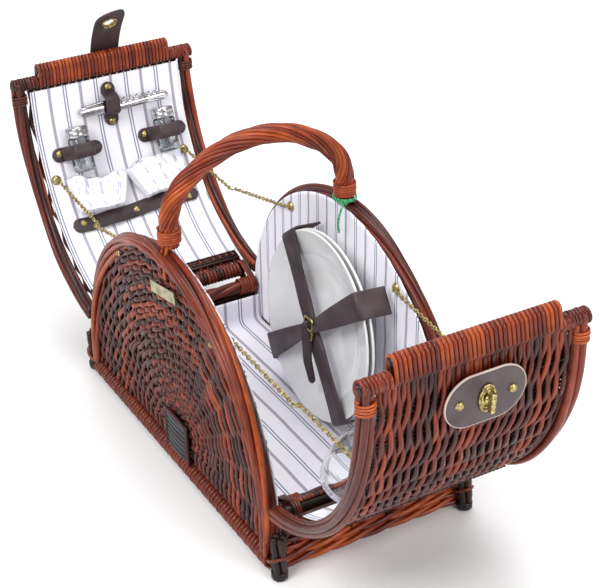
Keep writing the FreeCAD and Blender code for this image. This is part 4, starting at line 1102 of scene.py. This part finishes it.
for name, degrees, lift in (("lower", 128.0, 1.6), ("upper", 38.0, 4.2)):
    turn = math.radians(degrees)
    reach = 100.4
    line = rounded([(-reach, -30), (-reach, lift), (0, lift + 1.6), (reach, lift), (reach, -30)], 120, 4)
    path = on_plate(line[:, 0] * math.cos(turn), line[:, 0] * math.sin(turn), line[:, 1])
    along = unit(np.gradient(line, axis=0))
    out = (-along[:, 1:2] * (plate_x * math.cos(turn) + plate_up * math.sin(turn))
           + along[:, :1] * plate_face)
    middle = np.clip(np.abs(line[:, 0]) / reach, 0, 1)
    twist = 0.55 * np.exp(-(line[:, 0] / 34) ** 2)[:, None] * (1 if name == "lower" else -0.6)
    side_way = unit(np.cross(along[:, :1] * (plate_x * math.cos(turn) + plate_up * math.sin(turn)), out))
    piece("plate_strap_%s_leather" % name,
          strap(path, unit(out + twist * side_way), 14 * (0.4 + 0.6 * middle ** 0.75)),
          strap_leather, "basket", ("plate_strap_" + name,))
tongue = rounded([(-2, 8, 8.0), (2, -8, 9.5), (10, -30, 12), (20, -52, 10)], 40)
piece("plate_strap_tongue", strap(on_plate(*tongue.T), plate_face + 1.6 * plate_x,
                                  np.linspace(6, 3.4, 40), 1.1,
                                  (True, True)), strap_leather, "basket", ())


def loop_line(half_x, half_y, round_by, count=40):
    """A rectangle with round corners: a circle of the corner's radius, pushed out to the sides."""
    bent = np.linspace(0, 2 * np.pi, count, endpoint=False)
    c, s = np.cos(bent), np.sin(bent)
    return np.stack([c * round_by + np.sign(c) * (half_x - round_by) * (np.abs(c) > 1e-9),
                     s * round_by + np.sign(s) * (half_y - round_by) * (np.abs(s) > 1e-9)], -1)


ring = loop_line(8, 11, 3)
buckle = tubes(on_plate(ring[:, 0], ring[:, 1], 7.6), plate_face, 1.2 * MM, 1.1 * MM, closed=True)
prong = tubes(on_plate(np.linspace(-8, 7, 10), 0, 8.6 + 0.6 * np.sin(np.linspace(0, 3, 10))), plate_face,
              1.0 * MM, 1.0 * MM)
piece("plate_buckle", joined([buckle, prong]), aged_brass, "basket", ("strap_buckle",))

# %% [markdown]
# Studs and rivets are domed brass heads, all one small turned profile, each stood on the surface
# that it pins, with its axis along that surface's normal.

# %% Studs and rivets
DOME = [(0, 2.7), (1.6, 2.45), (2.9, 1.75), (3.7, 0.9), (4.1, 0.35), (4.2, 0), (3.2, -0.4), (0, -0.4)]
LINING_OFF = -5.3


def stud(place, out, scale=1.0):
    """A domed head at a place in metres, its dome pointing out."""
    return turned([(r * scale, h * scale) for r, h in DOME], np.asarray(place) / MM, out, 18)


def inside(side, t, y, lift=0.0, scale=1.0):
    """A stud on the lining of an open lid, lift mm clear of the cloth."""
    return stud(lid(side, t, y, LINING_OFF - lift), -lid_out(side, t, y), scale)


rivets = [stud(np.array([x, sign * 106.4, 193]) * MM, (0, sign, 0), 0.8) for x in (-102, 102)
          for sign in (-1, 1)]
rivets += [stud(np.array([x, sign * 90.2, 193]) * MM, (0, -sign, 0), 1.35) for x in (-102, 102)
           for sign in (-1, 1)]
piece("chain_rivet_heads", joined(rivets), aged_brass, "basket", ("chain_rivets",))
piece("front_lid_anchor_heads", joined([inside(1, 52, y, 0, 1.4) for y in (-79, 79)]), aged_brass,
      "front_lid",
      ("front_lid_anchors",))
heads = ([inside(-1, 60, y - 21.5, 2.4) for y in (-47.5, 57.5)]
         + [inside(-1, 35.4, y, 2.4) for y in (-64, 1, 67)])
heads += [inside(-1, t, 0, 4.1) for t in (78.3, 66.9)] + [inside(-1, 52, y, 0, 1.4) for y in (-79, 79)]
piece("back_lid_stud_heads", joined(heads), aged_brass, "back_lid", ("back_lid_studs",))

# %% [markdown]
# Lock. A stadium of leather lies on the outside of the front lid, held by two studs. In its
# middle is an oval brass collar, and in that the turning key, a ribbed block on a short neck.
# A flat plate of any outline is made from rings: the outline at several heights, pulled in a
# little at the edges, and drawn to the centre to close it.

# %% Lock
LOCK_T, LOCK_Y = 73.0, 6.0
out_way = lid_out(1, LOCK_T)
up_way = unit(lid(1, LOCK_T + 0.5, 0, 3.9) - lid(1, LOCK_T - 0.5, 0, 3.9))
y_way = np.array([0.0, 1.0, 0.0])
lock_at = lid(1, LOCK_T, LOCK_Y, 3.9)


def on_lock(u, v, h):
    """A point on the lock's own flat frame: u along the lid's width, v up the lid, h outwards."""
    u, v, h = (np.asarray(c, float)[..., None] * MM for c in (u, v, h))
    return lock_at + u * y_way + v * up_way + h * out_way


def plate_of(outline, levels, place):
    """Rings of the outline: each level is (share of the outline, height in mm)."""
    outline = np.asarray(outline, float)
    rings = np.stack([place(outline[:, 0] * share, outline[:, 1] * share, np.full(len(outline), h))
                      for share, h in levels])
    quads, _, j = grid_faces(len(levels), len(outline), True)
    closing = [list(range(len(outline)))[::-1],
               [(len(levels) - 1) * len(outline) + k for k in range(len(outline))]]
    flat = np.stack([j, j, j + 1, j + 1], -1) * MM
    corners = np.stack([flat, flat], -1).reshape(-1, 2)
    return Form(rings.reshape(-1, 3), quads[:, ::-1].tolist() + closing,
                np.concatenate([corners, np.zeros((2 * len(outline), 2))]),
                np.full(rings.shape[0] * rings.shape[1], 0.5))


def stadium(half_u, half_v, count=64):
    """Two half circles joined by straight sides."""
    bent = np.linspace(0, 2 * np.pi, count, endpoint=False)
    return np.stack([np.cos(bent) * half_v + np.sign(np.cos(bent)) * (half_u - half_v),
                     np.sin(bent) * half_v], -1)


outline = stadium(39.0, 25.0)
piece("lock_leather_plate", plate_of(outline,
                                     [(0.3, 1.2), (0.97, 1.2), (0.985, 1.9), (0.985, 3.1), (0.965, 3.6),
                                               (0.9, 3.8), (0.3, 3.7)], on_lock), lock_leather, "front_lid",
      ("lock_plate",))
edge = on_lock(outline[:, 0] * 0.985, outline[:, 1] * 0.985, np.full(64, 2.4))
piece("lock_leather_edge", tubes(edge, out_way, 0.75 * MM, 1.15 * MM, 0.5, closed=True), cut_leather,
      "front_lid",
      ())
piece("lock_stud_heads", joined([stud(on_lock(u, 0, 3.9), out_way, 1.05) for u in (-25.5, 25.5)]),
      aged_brass,
      "front_lid", ("lock_studs",))
bent = np.linspace(0, 2 * np.pi, 48, endpoint=False)
oval = np.stack([7.0 * np.cos(bent), 12.6 * np.sin(bent)], -1)
collar = [tubes(on_lock(*(oval * k).T, np.full(48, h)), out_way, w * MM, w * MM, closed=True)
          for k, h, w in ((1.0, 4.9, 1.25), (0.8, 4.4, 0.7))]
collar.append(plate_of(oval, [(0.1, 3.8), (0.95, 3.8), (0.95, 4.5), (0.1, 4.4)], on_lock))
piece("lock_collar", joined(collar), aged_brass, "front_lid", ("lock_escutcheon",))
key = [turned([(0, 0), (3.6, 0), (3.9, 0.5), (3.9, 3.6), (0, 3.6)], on_lock(0, 0, 5.4) / MM, out_way, 24)]
for n in range(7):
    v = -9.3 + n * 2.66
    block = loop_line(2.1, 1.28, 0.5, 20)
    key.append(plate_of(block, [(0.5, 9.0), (0.94, 9.0), (1, 9.4), (1, 14.0), (0.9, 14.4), (0.4, 14.5)],
                        lambda a, b, h, v=v: on_lock(a, b + v + 1.3, h)))
piece("turn_key_block", joined(key), aged_brass, "turn_key", ("turn_key",))

# %% [markdown]
# The closing strap stands up from the bar of the back lid and curls forward. It has a round hole
# near its end with a brass eyelet in it, so its surface is made as rings that start at the hole
# and grow out to the strap's own outline.

# %% Closing strap
CLOSER_LENGTH, CLOSER_HALF, CLOSER_BEND, CLOSER_LEAN = 75.0, 17.0, math.radians(33.55), math.radians(100)
root = np.array([8.5, HINGE_Z + LID_RISE * math.sin(math.radians(RAISED_BAR)) + 7.4])
bend_radius = CLOSER_LENGTH / CLOSER_BEND
hub = root - bend_radius * np.array([math.cos(CLOSER_LEAN), math.sin(CLOSER_LEAN)])


def on_closer(s, w, h):
    """A point of the strap: s mm along it from the bar, w across it, h out of its outer face."""
    a = CLOSER_LEAN + s / CLOSER_LENGTH * CLOSER_BEND
    return opened(-1, hub[0] + (bend_radius + h) * np.cos(a), LOCK_Y + w,
                  hub[1] + (bend_radius + h) * np.sin(a))


bent = np.linspace(0, 2 * np.pi, 72, endpoint=False)
EYE = 47.1
c, s = np.cos(bent), np.sin(bent)
square = np.maximum(np.abs(s) / CLOSER_HALF, np.abs(c) / (EYE - 0.6))
blunt = ((np.abs(c) / (CLOSER_LENGTH - EYE)) ** 2.6 + (np.abs(s) / CLOSER_HALF) ** 2.6) ** (1 / 2.6)
reach = 1 / np.where(c > 0, blunt, square)
outline = np.stack([reach * c, reach * s], -1)
# the tip was cut at a slant: the side towards -y stops short
outline[:, 0] -= np.where(c > 0, outline[:, 0] * 0.42 * np.clip(0.5 - outline[:, 1] / 34, 0, 1), 0)
hole = np.stack([7.6 * c, 7.6 * s], -1)
blends = [0, 0.25, 0.5, 0.75, 0.93, 0.99]
levels = ([(b, 2.3 - 0.3 * (b > 0.95)) for b in blends] + [(1, 1.6), (1, 0.6)]
          + [(b, 0.05) for b in blends[::-1]])
rings = np.stack([on_closer(EYE + (hole + (outline - hole) * b)[:, 0], (hole + (outline - hole) * b)[:, 1],
                            np.full(72, h)) for b, h in levels] )
rings = np.concatenate([rings, rings[:1]])
quads, i, j = grid_faces(len(rings), 72, True)
flat = np.stack([np.stack([i, i + 1, i + 1, i], -1),
                 np.stack([j, j, j + 1, j + 1], -1)], -1).reshape(-1, 2) * 0.002
quads = np.where(quads >= (len(rings) - 1) * 72, quads - (len(rings) - 1) * 72, quads)
closer = Form(rings[:-1].reshape(-1, 3), quads.tolist(), flat, np.full((len(rings) - 1) * 72, 0.5))
piece("closing_strap_leather", closer, strap_leather, "closing_strap", ("closing_strap",))
eye = [tubes(on_closer(EYE + 8.0 * c, 8.0 * s, np.full(72, h)), (0, 1, 0), 1.1 * MM, 1.1 * MM, 0.5,
             closed=True)
       for h in (2.7, -0.4)]
wall = [tubes(on_closer(EYE + 7.2 * c, 7.2 * s, np.full(72, 1.2)), (0, 1, 0), 0.5 * MM,
              0.5 * MM, closed=True)]
piece("strap_eyelet_ring", joined(eye + wall), aged_brass, "closing_strap", ("strap_eyelet",))

# %% [markdown]
# Fittings of the lids. Small leather loops hold the corkscrew and the shakers against the back
# lid: each lies flat at its two round ends and humps over what it holds. A long strap with three
# studs holds the napkins, and two hoops hold the stems of the goblets on the front lid.

# %% Leather loops


def hump(side, t, y, along_y, length, tall, flat_len, half, lift=1.3, round_ends=(True, True), count=48):
    """A strap over a round thing on a lid's lining: flat at both ends, and between them a hump of
    the given height. It runs along y, or along t where along_y is False."""
    u = np.linspace(-length / 2, length / 2, count)
    inner = length / 2 - flat_len
    rise = lift + tall * np.clip(np.sin(np.pi / 2 * np.clip((inner - np.abs(u)) / (inner * 0.45), 0, 1)),
                                 0, 1) ** 0.8
    if along_y:
        path = lid(side, np.full(count, t), y + u, LINING_OFF - rise)
    else:
        path = lid(side, t + np.degrees(u / 205.0), np.full(count, y), LINING_OFF - rise)
    way = np.array([0.0, 1.0, 0.0]) if along_y else unit(lid(side, t + 1, 0) - lid(side, t, 0))
    along = unit(np.gradient(path, axis=0))
    out = np.cross(along, np.cross(-lid_out(side, t), way))
    out = out * np.sign((out * -lid_out(side, t)).sum(-1, keepdims=True))
    return strap(path, out, half, 1.15, round_ends)


loops = [hump(-1, 59.6, y, True, 60, 26.5, 13, 8.0) for y in (-47.5, 57.5)]
loops.append(hump(-1, 72.6, 0, False, 52, 11.5, 13, 8.4, 2.2))
piece("shaker_loops", joined(loops[:2]), strap_leather, "back_lid", ("shaker_straps",))
piece("corkscrew_loop", loops[2], strap_leather, "back_lid", ("corkscrew_strap",))
y = np.linspace(-77, 79, 90)
wave = 1.5 + 3.4 * np.exp(-((y + 32) / 15) ** 2) + 3.6 * np.exp(-((y - 35) / 16) ** 2)
path = lid(-1, 35.4 + 0.9 * np.sin(y / 30), y, LINING_OFF - wave)
piece("napkin_strap_leather", strap(path, -lid_out(-1, np.full(90, 35.4)), 8.6, 1.15, (True, True)),
      strap_leather,
      "back_lid", ("napkin_strap",))

# %% [markdown]
# Shakers and goblets are clear glass, so they need real walls: each profile goes up the outside
# and comes back down the inside. The shakers have chromed caps.

# %% Glassware
GOBLET = [(0, 0), (24, 0), (26.2, 0.5), (26.6, 1.2), (26, 1.9), (18, 3.0), (8, 5.2), (5.0, 7.5),
          (4.1, 12), (3.9, 30), (4.0, 50), (5.0, 58), (9, 62.5), (16.5, 68), (22, 75), (26, 84),
          (27.8, 94), (27.9, 104), (27.2, 118), (26.1, 131.6), (25.4, 132), (24.9, 131.4), (26.0, 118),
          (26.5, 104), (26.2, 94), (24.3, 85), (20.4, 76.5), (15, 70.5), (8, 66.5), (0, 65)]
stand_off = LINING_OFF - 28 - 3.6
foot, mouth = lid(1, 63.0, 0, stand_off) / MM, lid(1, 21.5, 0, stand_off) / MM
for name, y in (("left", -48.0), ("right", 8.6)):
    form = turned(GOBLET, foot + np.array([0, y, 0]), mouth - foot, 56)
    piece("goblet_%s_glass" % name, form, clear_glass, "front_lid", ("goblet_" + name,))
hoops = [hump(1, 52.3, y, True, 34, 25.5, 6, 8.0, 1.3) for y in (-48.0, 8.6)]
piece("goblet_hoops", joined(hoops), strap_leather, "front_lid", ("goblet_straps",))

TUBE = [(0, 0), (11.4, 0), (12.3, 0.8), (12.5, 2), (12.5, 36), (11.6, 37.6), (10.6, 37.6), (10.8, 36),
        (10.8, 3.5), (9.8, 2.6), (0, 2.4)]
CAP = [(0, 12), (9.5, 12), (11.9, 11.2), (12.6, 9.8), (12.6, 6.4), (12.2, 6), (12.6, 5.6), (12.6, 0.8),
       (12.2, 0.2), (0, 0.2)]
tube_forms, cap_forms = [], []
up_way = unit(lid(-1, 60.5, 0) - lid(-1, 59.5, 0))
for y in (-47.5, 57.5):
    middle = lid(-1, 60.0, y, LINING_OFF - 12.5 - 1.6) / MM
    tube_forms.append(turned(TUBE, middle - up_way * 24, up_way, 40))
    cap_forms.append(turned(CAP[::-1], middle + up_way * 14.2, up_way, 40))
piece("shaker_tubes", joined(tube_forms), clear_glass, "back_lid", ("shaker_glasses",))
piece("shaker_chrome_caps", joined(cap_forms), chrome, "back_lid", ("shaker_caps",))

# %% [markdown]
# Corkscrew. A folded waiter's corkscrew of chromed steel: a long rounded body, a lever folded on
# its other side, and the worm lying in the open half. The worm is a helix of wire.

# %% Corkscrew
lid_up = unit(lid(-1, 72.5, 0) - lid(-1, 71.5, 0))
lid_in = -lid_out(-1, 72.0)
cork_at = lid(-1, 72.0, 16.0, LINING_OFF - 2.4)


def on_cork(along, up, lift):
    """A point beside the corkscrew's middle: along the lid's width, up the lid, and inwards."""
    along, up, lift = (np.asarray(c, float)[..., None] * MM for c in (along, up, lift))
    return cork_at + along * np.array([0, 1.0, 0]) + up * lid_up + lift * lid_in


BAR = [(np.cos(a) * (1 if abs(np.cos(a)) < 0.8 else 0.96), np.sin(a))
       for a in np.linspace(0, 2 * np.pi, 16, endpoint=False)]
x = np.linspace(-54, 54, 70)
slim = np.interp(x, [-54, -50, -44, -20, -16, 30, 46, 51, 54],
                 [3.0, 6.0, 6.6, 6.3, 4.9, 4.9, 5.7, 5.2, 2.2])
drop = np.interp(x, [-54, -18, -12, 54], [0, 0, -2.6, -1.6])
body = tubes(on_cork(x, drop + 0.8 * np.sin(x / 30), 4.0), lid_in, slim * MM,
             np.interp(x, [-54, 0, 54], [3.8, 3.4, 3.2]) * MM,
             section=BAR)
x = np.linspace(-46, -12, 24)
lever = tubes(on_cork(x, 5.2 + 0.05 * (x + 46), 5.2), lid_in, 1.5 * MM, 1.6 * MM)
piece("corkscrew_handle", joined([body, lever]), chrome, "back_lid", ("corkscrew_body",))
turns = np.linspace(0, 1, 120)
spiral = on_cork(-6 + 50 * turns, 4.2 + 2.3 * np.cos(turns * 2 * np.pi * 6.5),
                 4.6 + 2.3 * np.sin(turns * 2 * np.pi * 6.5))
piece("corkscrew_spiral", tubes(spiral, lid_in, 0.85 * MM, 0.85 * MM), chrome, "back_lid",
      ("corkscrew_worm",))

# %% [markdown]
# Chains. Each of the four stays is a chain of small welded links. A link is a closed loop of wire
# with straight sides, and every other one is turned a quarter turn about the chain's line. The
# half nearer the panel and the half nearer the lid ride on different bodies.

# %% Chains
HOOK, LID_HOOK = (102.0, 193.0), 52.0
MIDDLE_DROP = {1: 2.0, -1: 16.0}


def links(start, stop, wire=0.62, size=(2.9, 1.75), pitch=3.9):
    """Links along a straight run in mm, centred on it, each an oval loop of wire."""
    start, stop = np.asarray(start, float), np.asarray(stop, float)
    way = unit(stop - start)
    length = float(np.linalg.norm(stop - start))
    flat = unit(np.cross(way, (0, 0, 1)))
    other = np.cross(way, flat)
    count = int(length / pitch)
    bent = np.linspace(0, 2 * np.pi, 10, endpoint=False)
    forms = []
    for n in range(count):
        lean = 0.5 + np.pi / 2 * (n % 2) + 0.25 * math.sin(n * 1.7)
        across = flat * math.cos(lean) + other * math.sin(lean)
        centre = start + way * (length * (n + 0.5) / count)
        loop = centre + np.cos(bent)[:, None] * way * size[0] + np.sin(bent)[:, None] * across * size[1]
        forms.append(tubes(loop * MM, np.cross(way, across), wire * MM, wire * MM, 0.5, 5, True))
    return forms


for side, name in ((1, "front"), (-1, "back")):
    far = lid(side, LID_HOOK, 0, LINING_OFF - 4.2) / MM
    hook = np.array([side * HOOK[0], 0, HOOK[1]])
    centre = (hook + far) / 2 - (0, 0, MIDDLE_DROP[side])
    near_half, far_half = [], []
    for hand in (-1, 1):
        near_half += links(hook + (0, hand * 86.6, 0), centre + (0, hand * 84.2, 0))
        near_half += links(centre + (0, hand * 84.2, 0), centre + (0, hand * 79.8, 0))
        far_half += links(centre + (0, hand * 79.8, 0), far + (0, hand * 79.0, 0))
    piece(name + "_stay_links_inner", joined(near_half), aged_brass, name + "_chains_panel_half",
          (name + "_chains_panel_half",))
    piece(name + "_stay_links_outer", joined(far_half), aged_brass, name + "_chains_lid_half",
          (name + "_chains_lid_half",))

# %% [markdown]
# Napkins. Two cotton napkins are folded back and forth into a stack of six layers, gathered across
# the width, and pushed under the strap. The cloth is one patch: it goes up and down the lid layer
# by layer, and the same gathers run through every layer, so that the layers never cross.

# %% Napkins


def napkin(side, t0, y0, half, length, layers, lift_side, phase):
    """A folded and gathered cloth on the lining. s runs along the cloth and w across it; the
    height is the layer's own plus two slanting sine waves, and the fold's line climbs towards
    one side, so that the stack lies askew."""
    s = np.linspace(0, layers, layers * 14 + 1)[:, None]
    w = np.linspace(-1, 1, 97)[None]
    saw = np.where(s % 2 < 1, s % 2, 2 - s % 2)
    fold = 0.65 * saw + 0.35 * (0.5 - 0.5 * np.cos(np.pi * saw))
    level = s * 1.75 + 0.5 * np.sin(np.pi * s)
    loft = (1.9 * np.sin(w * 5.2 + 3.1 * fold + phase) + 1.3 * np.sin(w * 11 - 2.6 * fold + phase * 2)
            + 0.6 * np.sin(w * 21 + 5 * fold + phase)) * (0.45 + 0.6 * fold)
    climb = lift_side * 8.0 * w + 2.4 * np.sin(w * 4 + phase * 2) + 1.1 * np.sin(w * 9 + phase)
    y = y0 + w * half * (0.8 + 0.28 * fold) + (fold - 0.5) * lift_side * -9 + 1.5 * np.sin(s * 2.1 + w * 3)
    t = t0 + np.degrees(((fold - 0.5) * length + climb * (0.25 + 0.75 * fold)) / 200.0)
    points = lid(side, t, y, LINING_OFF - 4.6 - level - loft)
    form = patch(points, 0.3 * MM, np.stack([w * half * 1.35 + 0 * s, s * length + 0 * w], -1) * MM)
    across = np.linalg.norm(np.diff(points, axis=1), axis=-1).sum(1).mean()
    down = np.linalg.norm(np.diff(points, axis=0), axis=-1).sum(0).mean()
    return form, (round(float(across), 3), round(float(down), 3))


for number, (t0, y0, half, length, lift_side) in enumerate(((43.8, -37.5, 31.0, 42.0, -0.5),
                                                          (45.4, 39.0, 32.0, 46.0, 1.0)), 1):
    form, flat_size = napkin(-1, t0, y0, half, length, 6, lift_side, number * 2.3)
    obj = piece("napkin_%d" % number, form, napkin_cotton, "back_lid", ("napkins",) if number == 1 else ())
    print("napkin", number, "flat", flat_size)

# %% [markdown]
# The twine tie is two turns round the foot of the handle and a small overhand knot, from which
# the free end hangs.

# %% Twine tie
bent = np.linspace(0, 2 * np.pi, 48, endpoint=False)
turns = []
for height, lean in ((244.9, 0.5), (247.0, -0.3)):
    ring = np.stack([11.3 * np.cos(bent), LEG_Y + 11.3 * np.sin(bent),
                     height + lean * np.cos(bent - 0.8)], -1)
    turns.append(tubes(ring * MM, (0, 0, 1), 1.1 * MM, 1.0 * MM, closed=True))
bent = np.linspace(0, 2 * np.pi, 60, endpoint=False)
knot = np.stack([12.5 + 1.5 * np.sin(bent) + 1.2 * np.sin(2 * bent),
                 86.5 + 1.5 * np.cos(bent) - 1.2 * np.cos(2 * bent),
                 246.4 + 1.3 * np.sin(3 * bent)], -1)
turns.append(tubes(knot * MM, (0, 0, 1), 1.0 * MM, 1.0 * MM, closed=True))
piece("twine_turns", joined(turns), garden_twine, "basket", ("twine_tie",))

# %% [markdown]
# The studio: a plain pale floor and three big soft lights.

# %% Studio
floor_material, tree, shader = finish_of("studio_floor")
shader.inputs["Base Color"].default_value = hex_colour("#f4f4f4")
shader.inputs["Roughness"].default_value = 0.8
mesh = bpy.data.meshes.new("studio_floor")
mesh.from_pydata([(-6, -6, 0), (6, -6, 0), (6, 6, 0), (-6, 6, 0)], [], [(0, 1, 2, 3)])
floor = bpy.data.objects.new("studio_floor", mesh)
bpy.context.scene.collection.objects.link(floor)
mesh.materials.append(floor_material)

world = bpy.data.worlds.new("studio")
bpy.context.scene.world = world
world.use_nodes = True
world.node_tree.nodes["Background"].inputs["Color"].default_value = (1, 1, 1, 1)
world.node_tree.nodes["Background"].inputs["Strength"].default_value = 0.6
bpy.context.scene.view_settings.view_transform = "Standard"


def softbox(name, place, aim, size, power):
    """An area light at place that faces the aim, both in metres."""
    light = bpy.data.lights.new(name, "AREA")
    light.shape, light.size, light.energy = "SQUARE", size, power
    obj = bpy.data.objects.new(name, light)
    bpy.context.scene.collection.objects.link(obj)
    obj.location = place
    obj.rotation_euler = (Vector(aim) - Vector(place)).to_track_quat("-Z", "Y").to_euler()


softbox("key", (0.6, -1.6, 2.0), (0, 0, 0.15), 1.1, 40)
softbox("side", (2.0, 0.6, 1.2), (0, 0, 0.15), 1.0, 20)
softbox("top", (-0.6, 0.4, 2.4), (0, 0, 0.15), 1.6, 34)
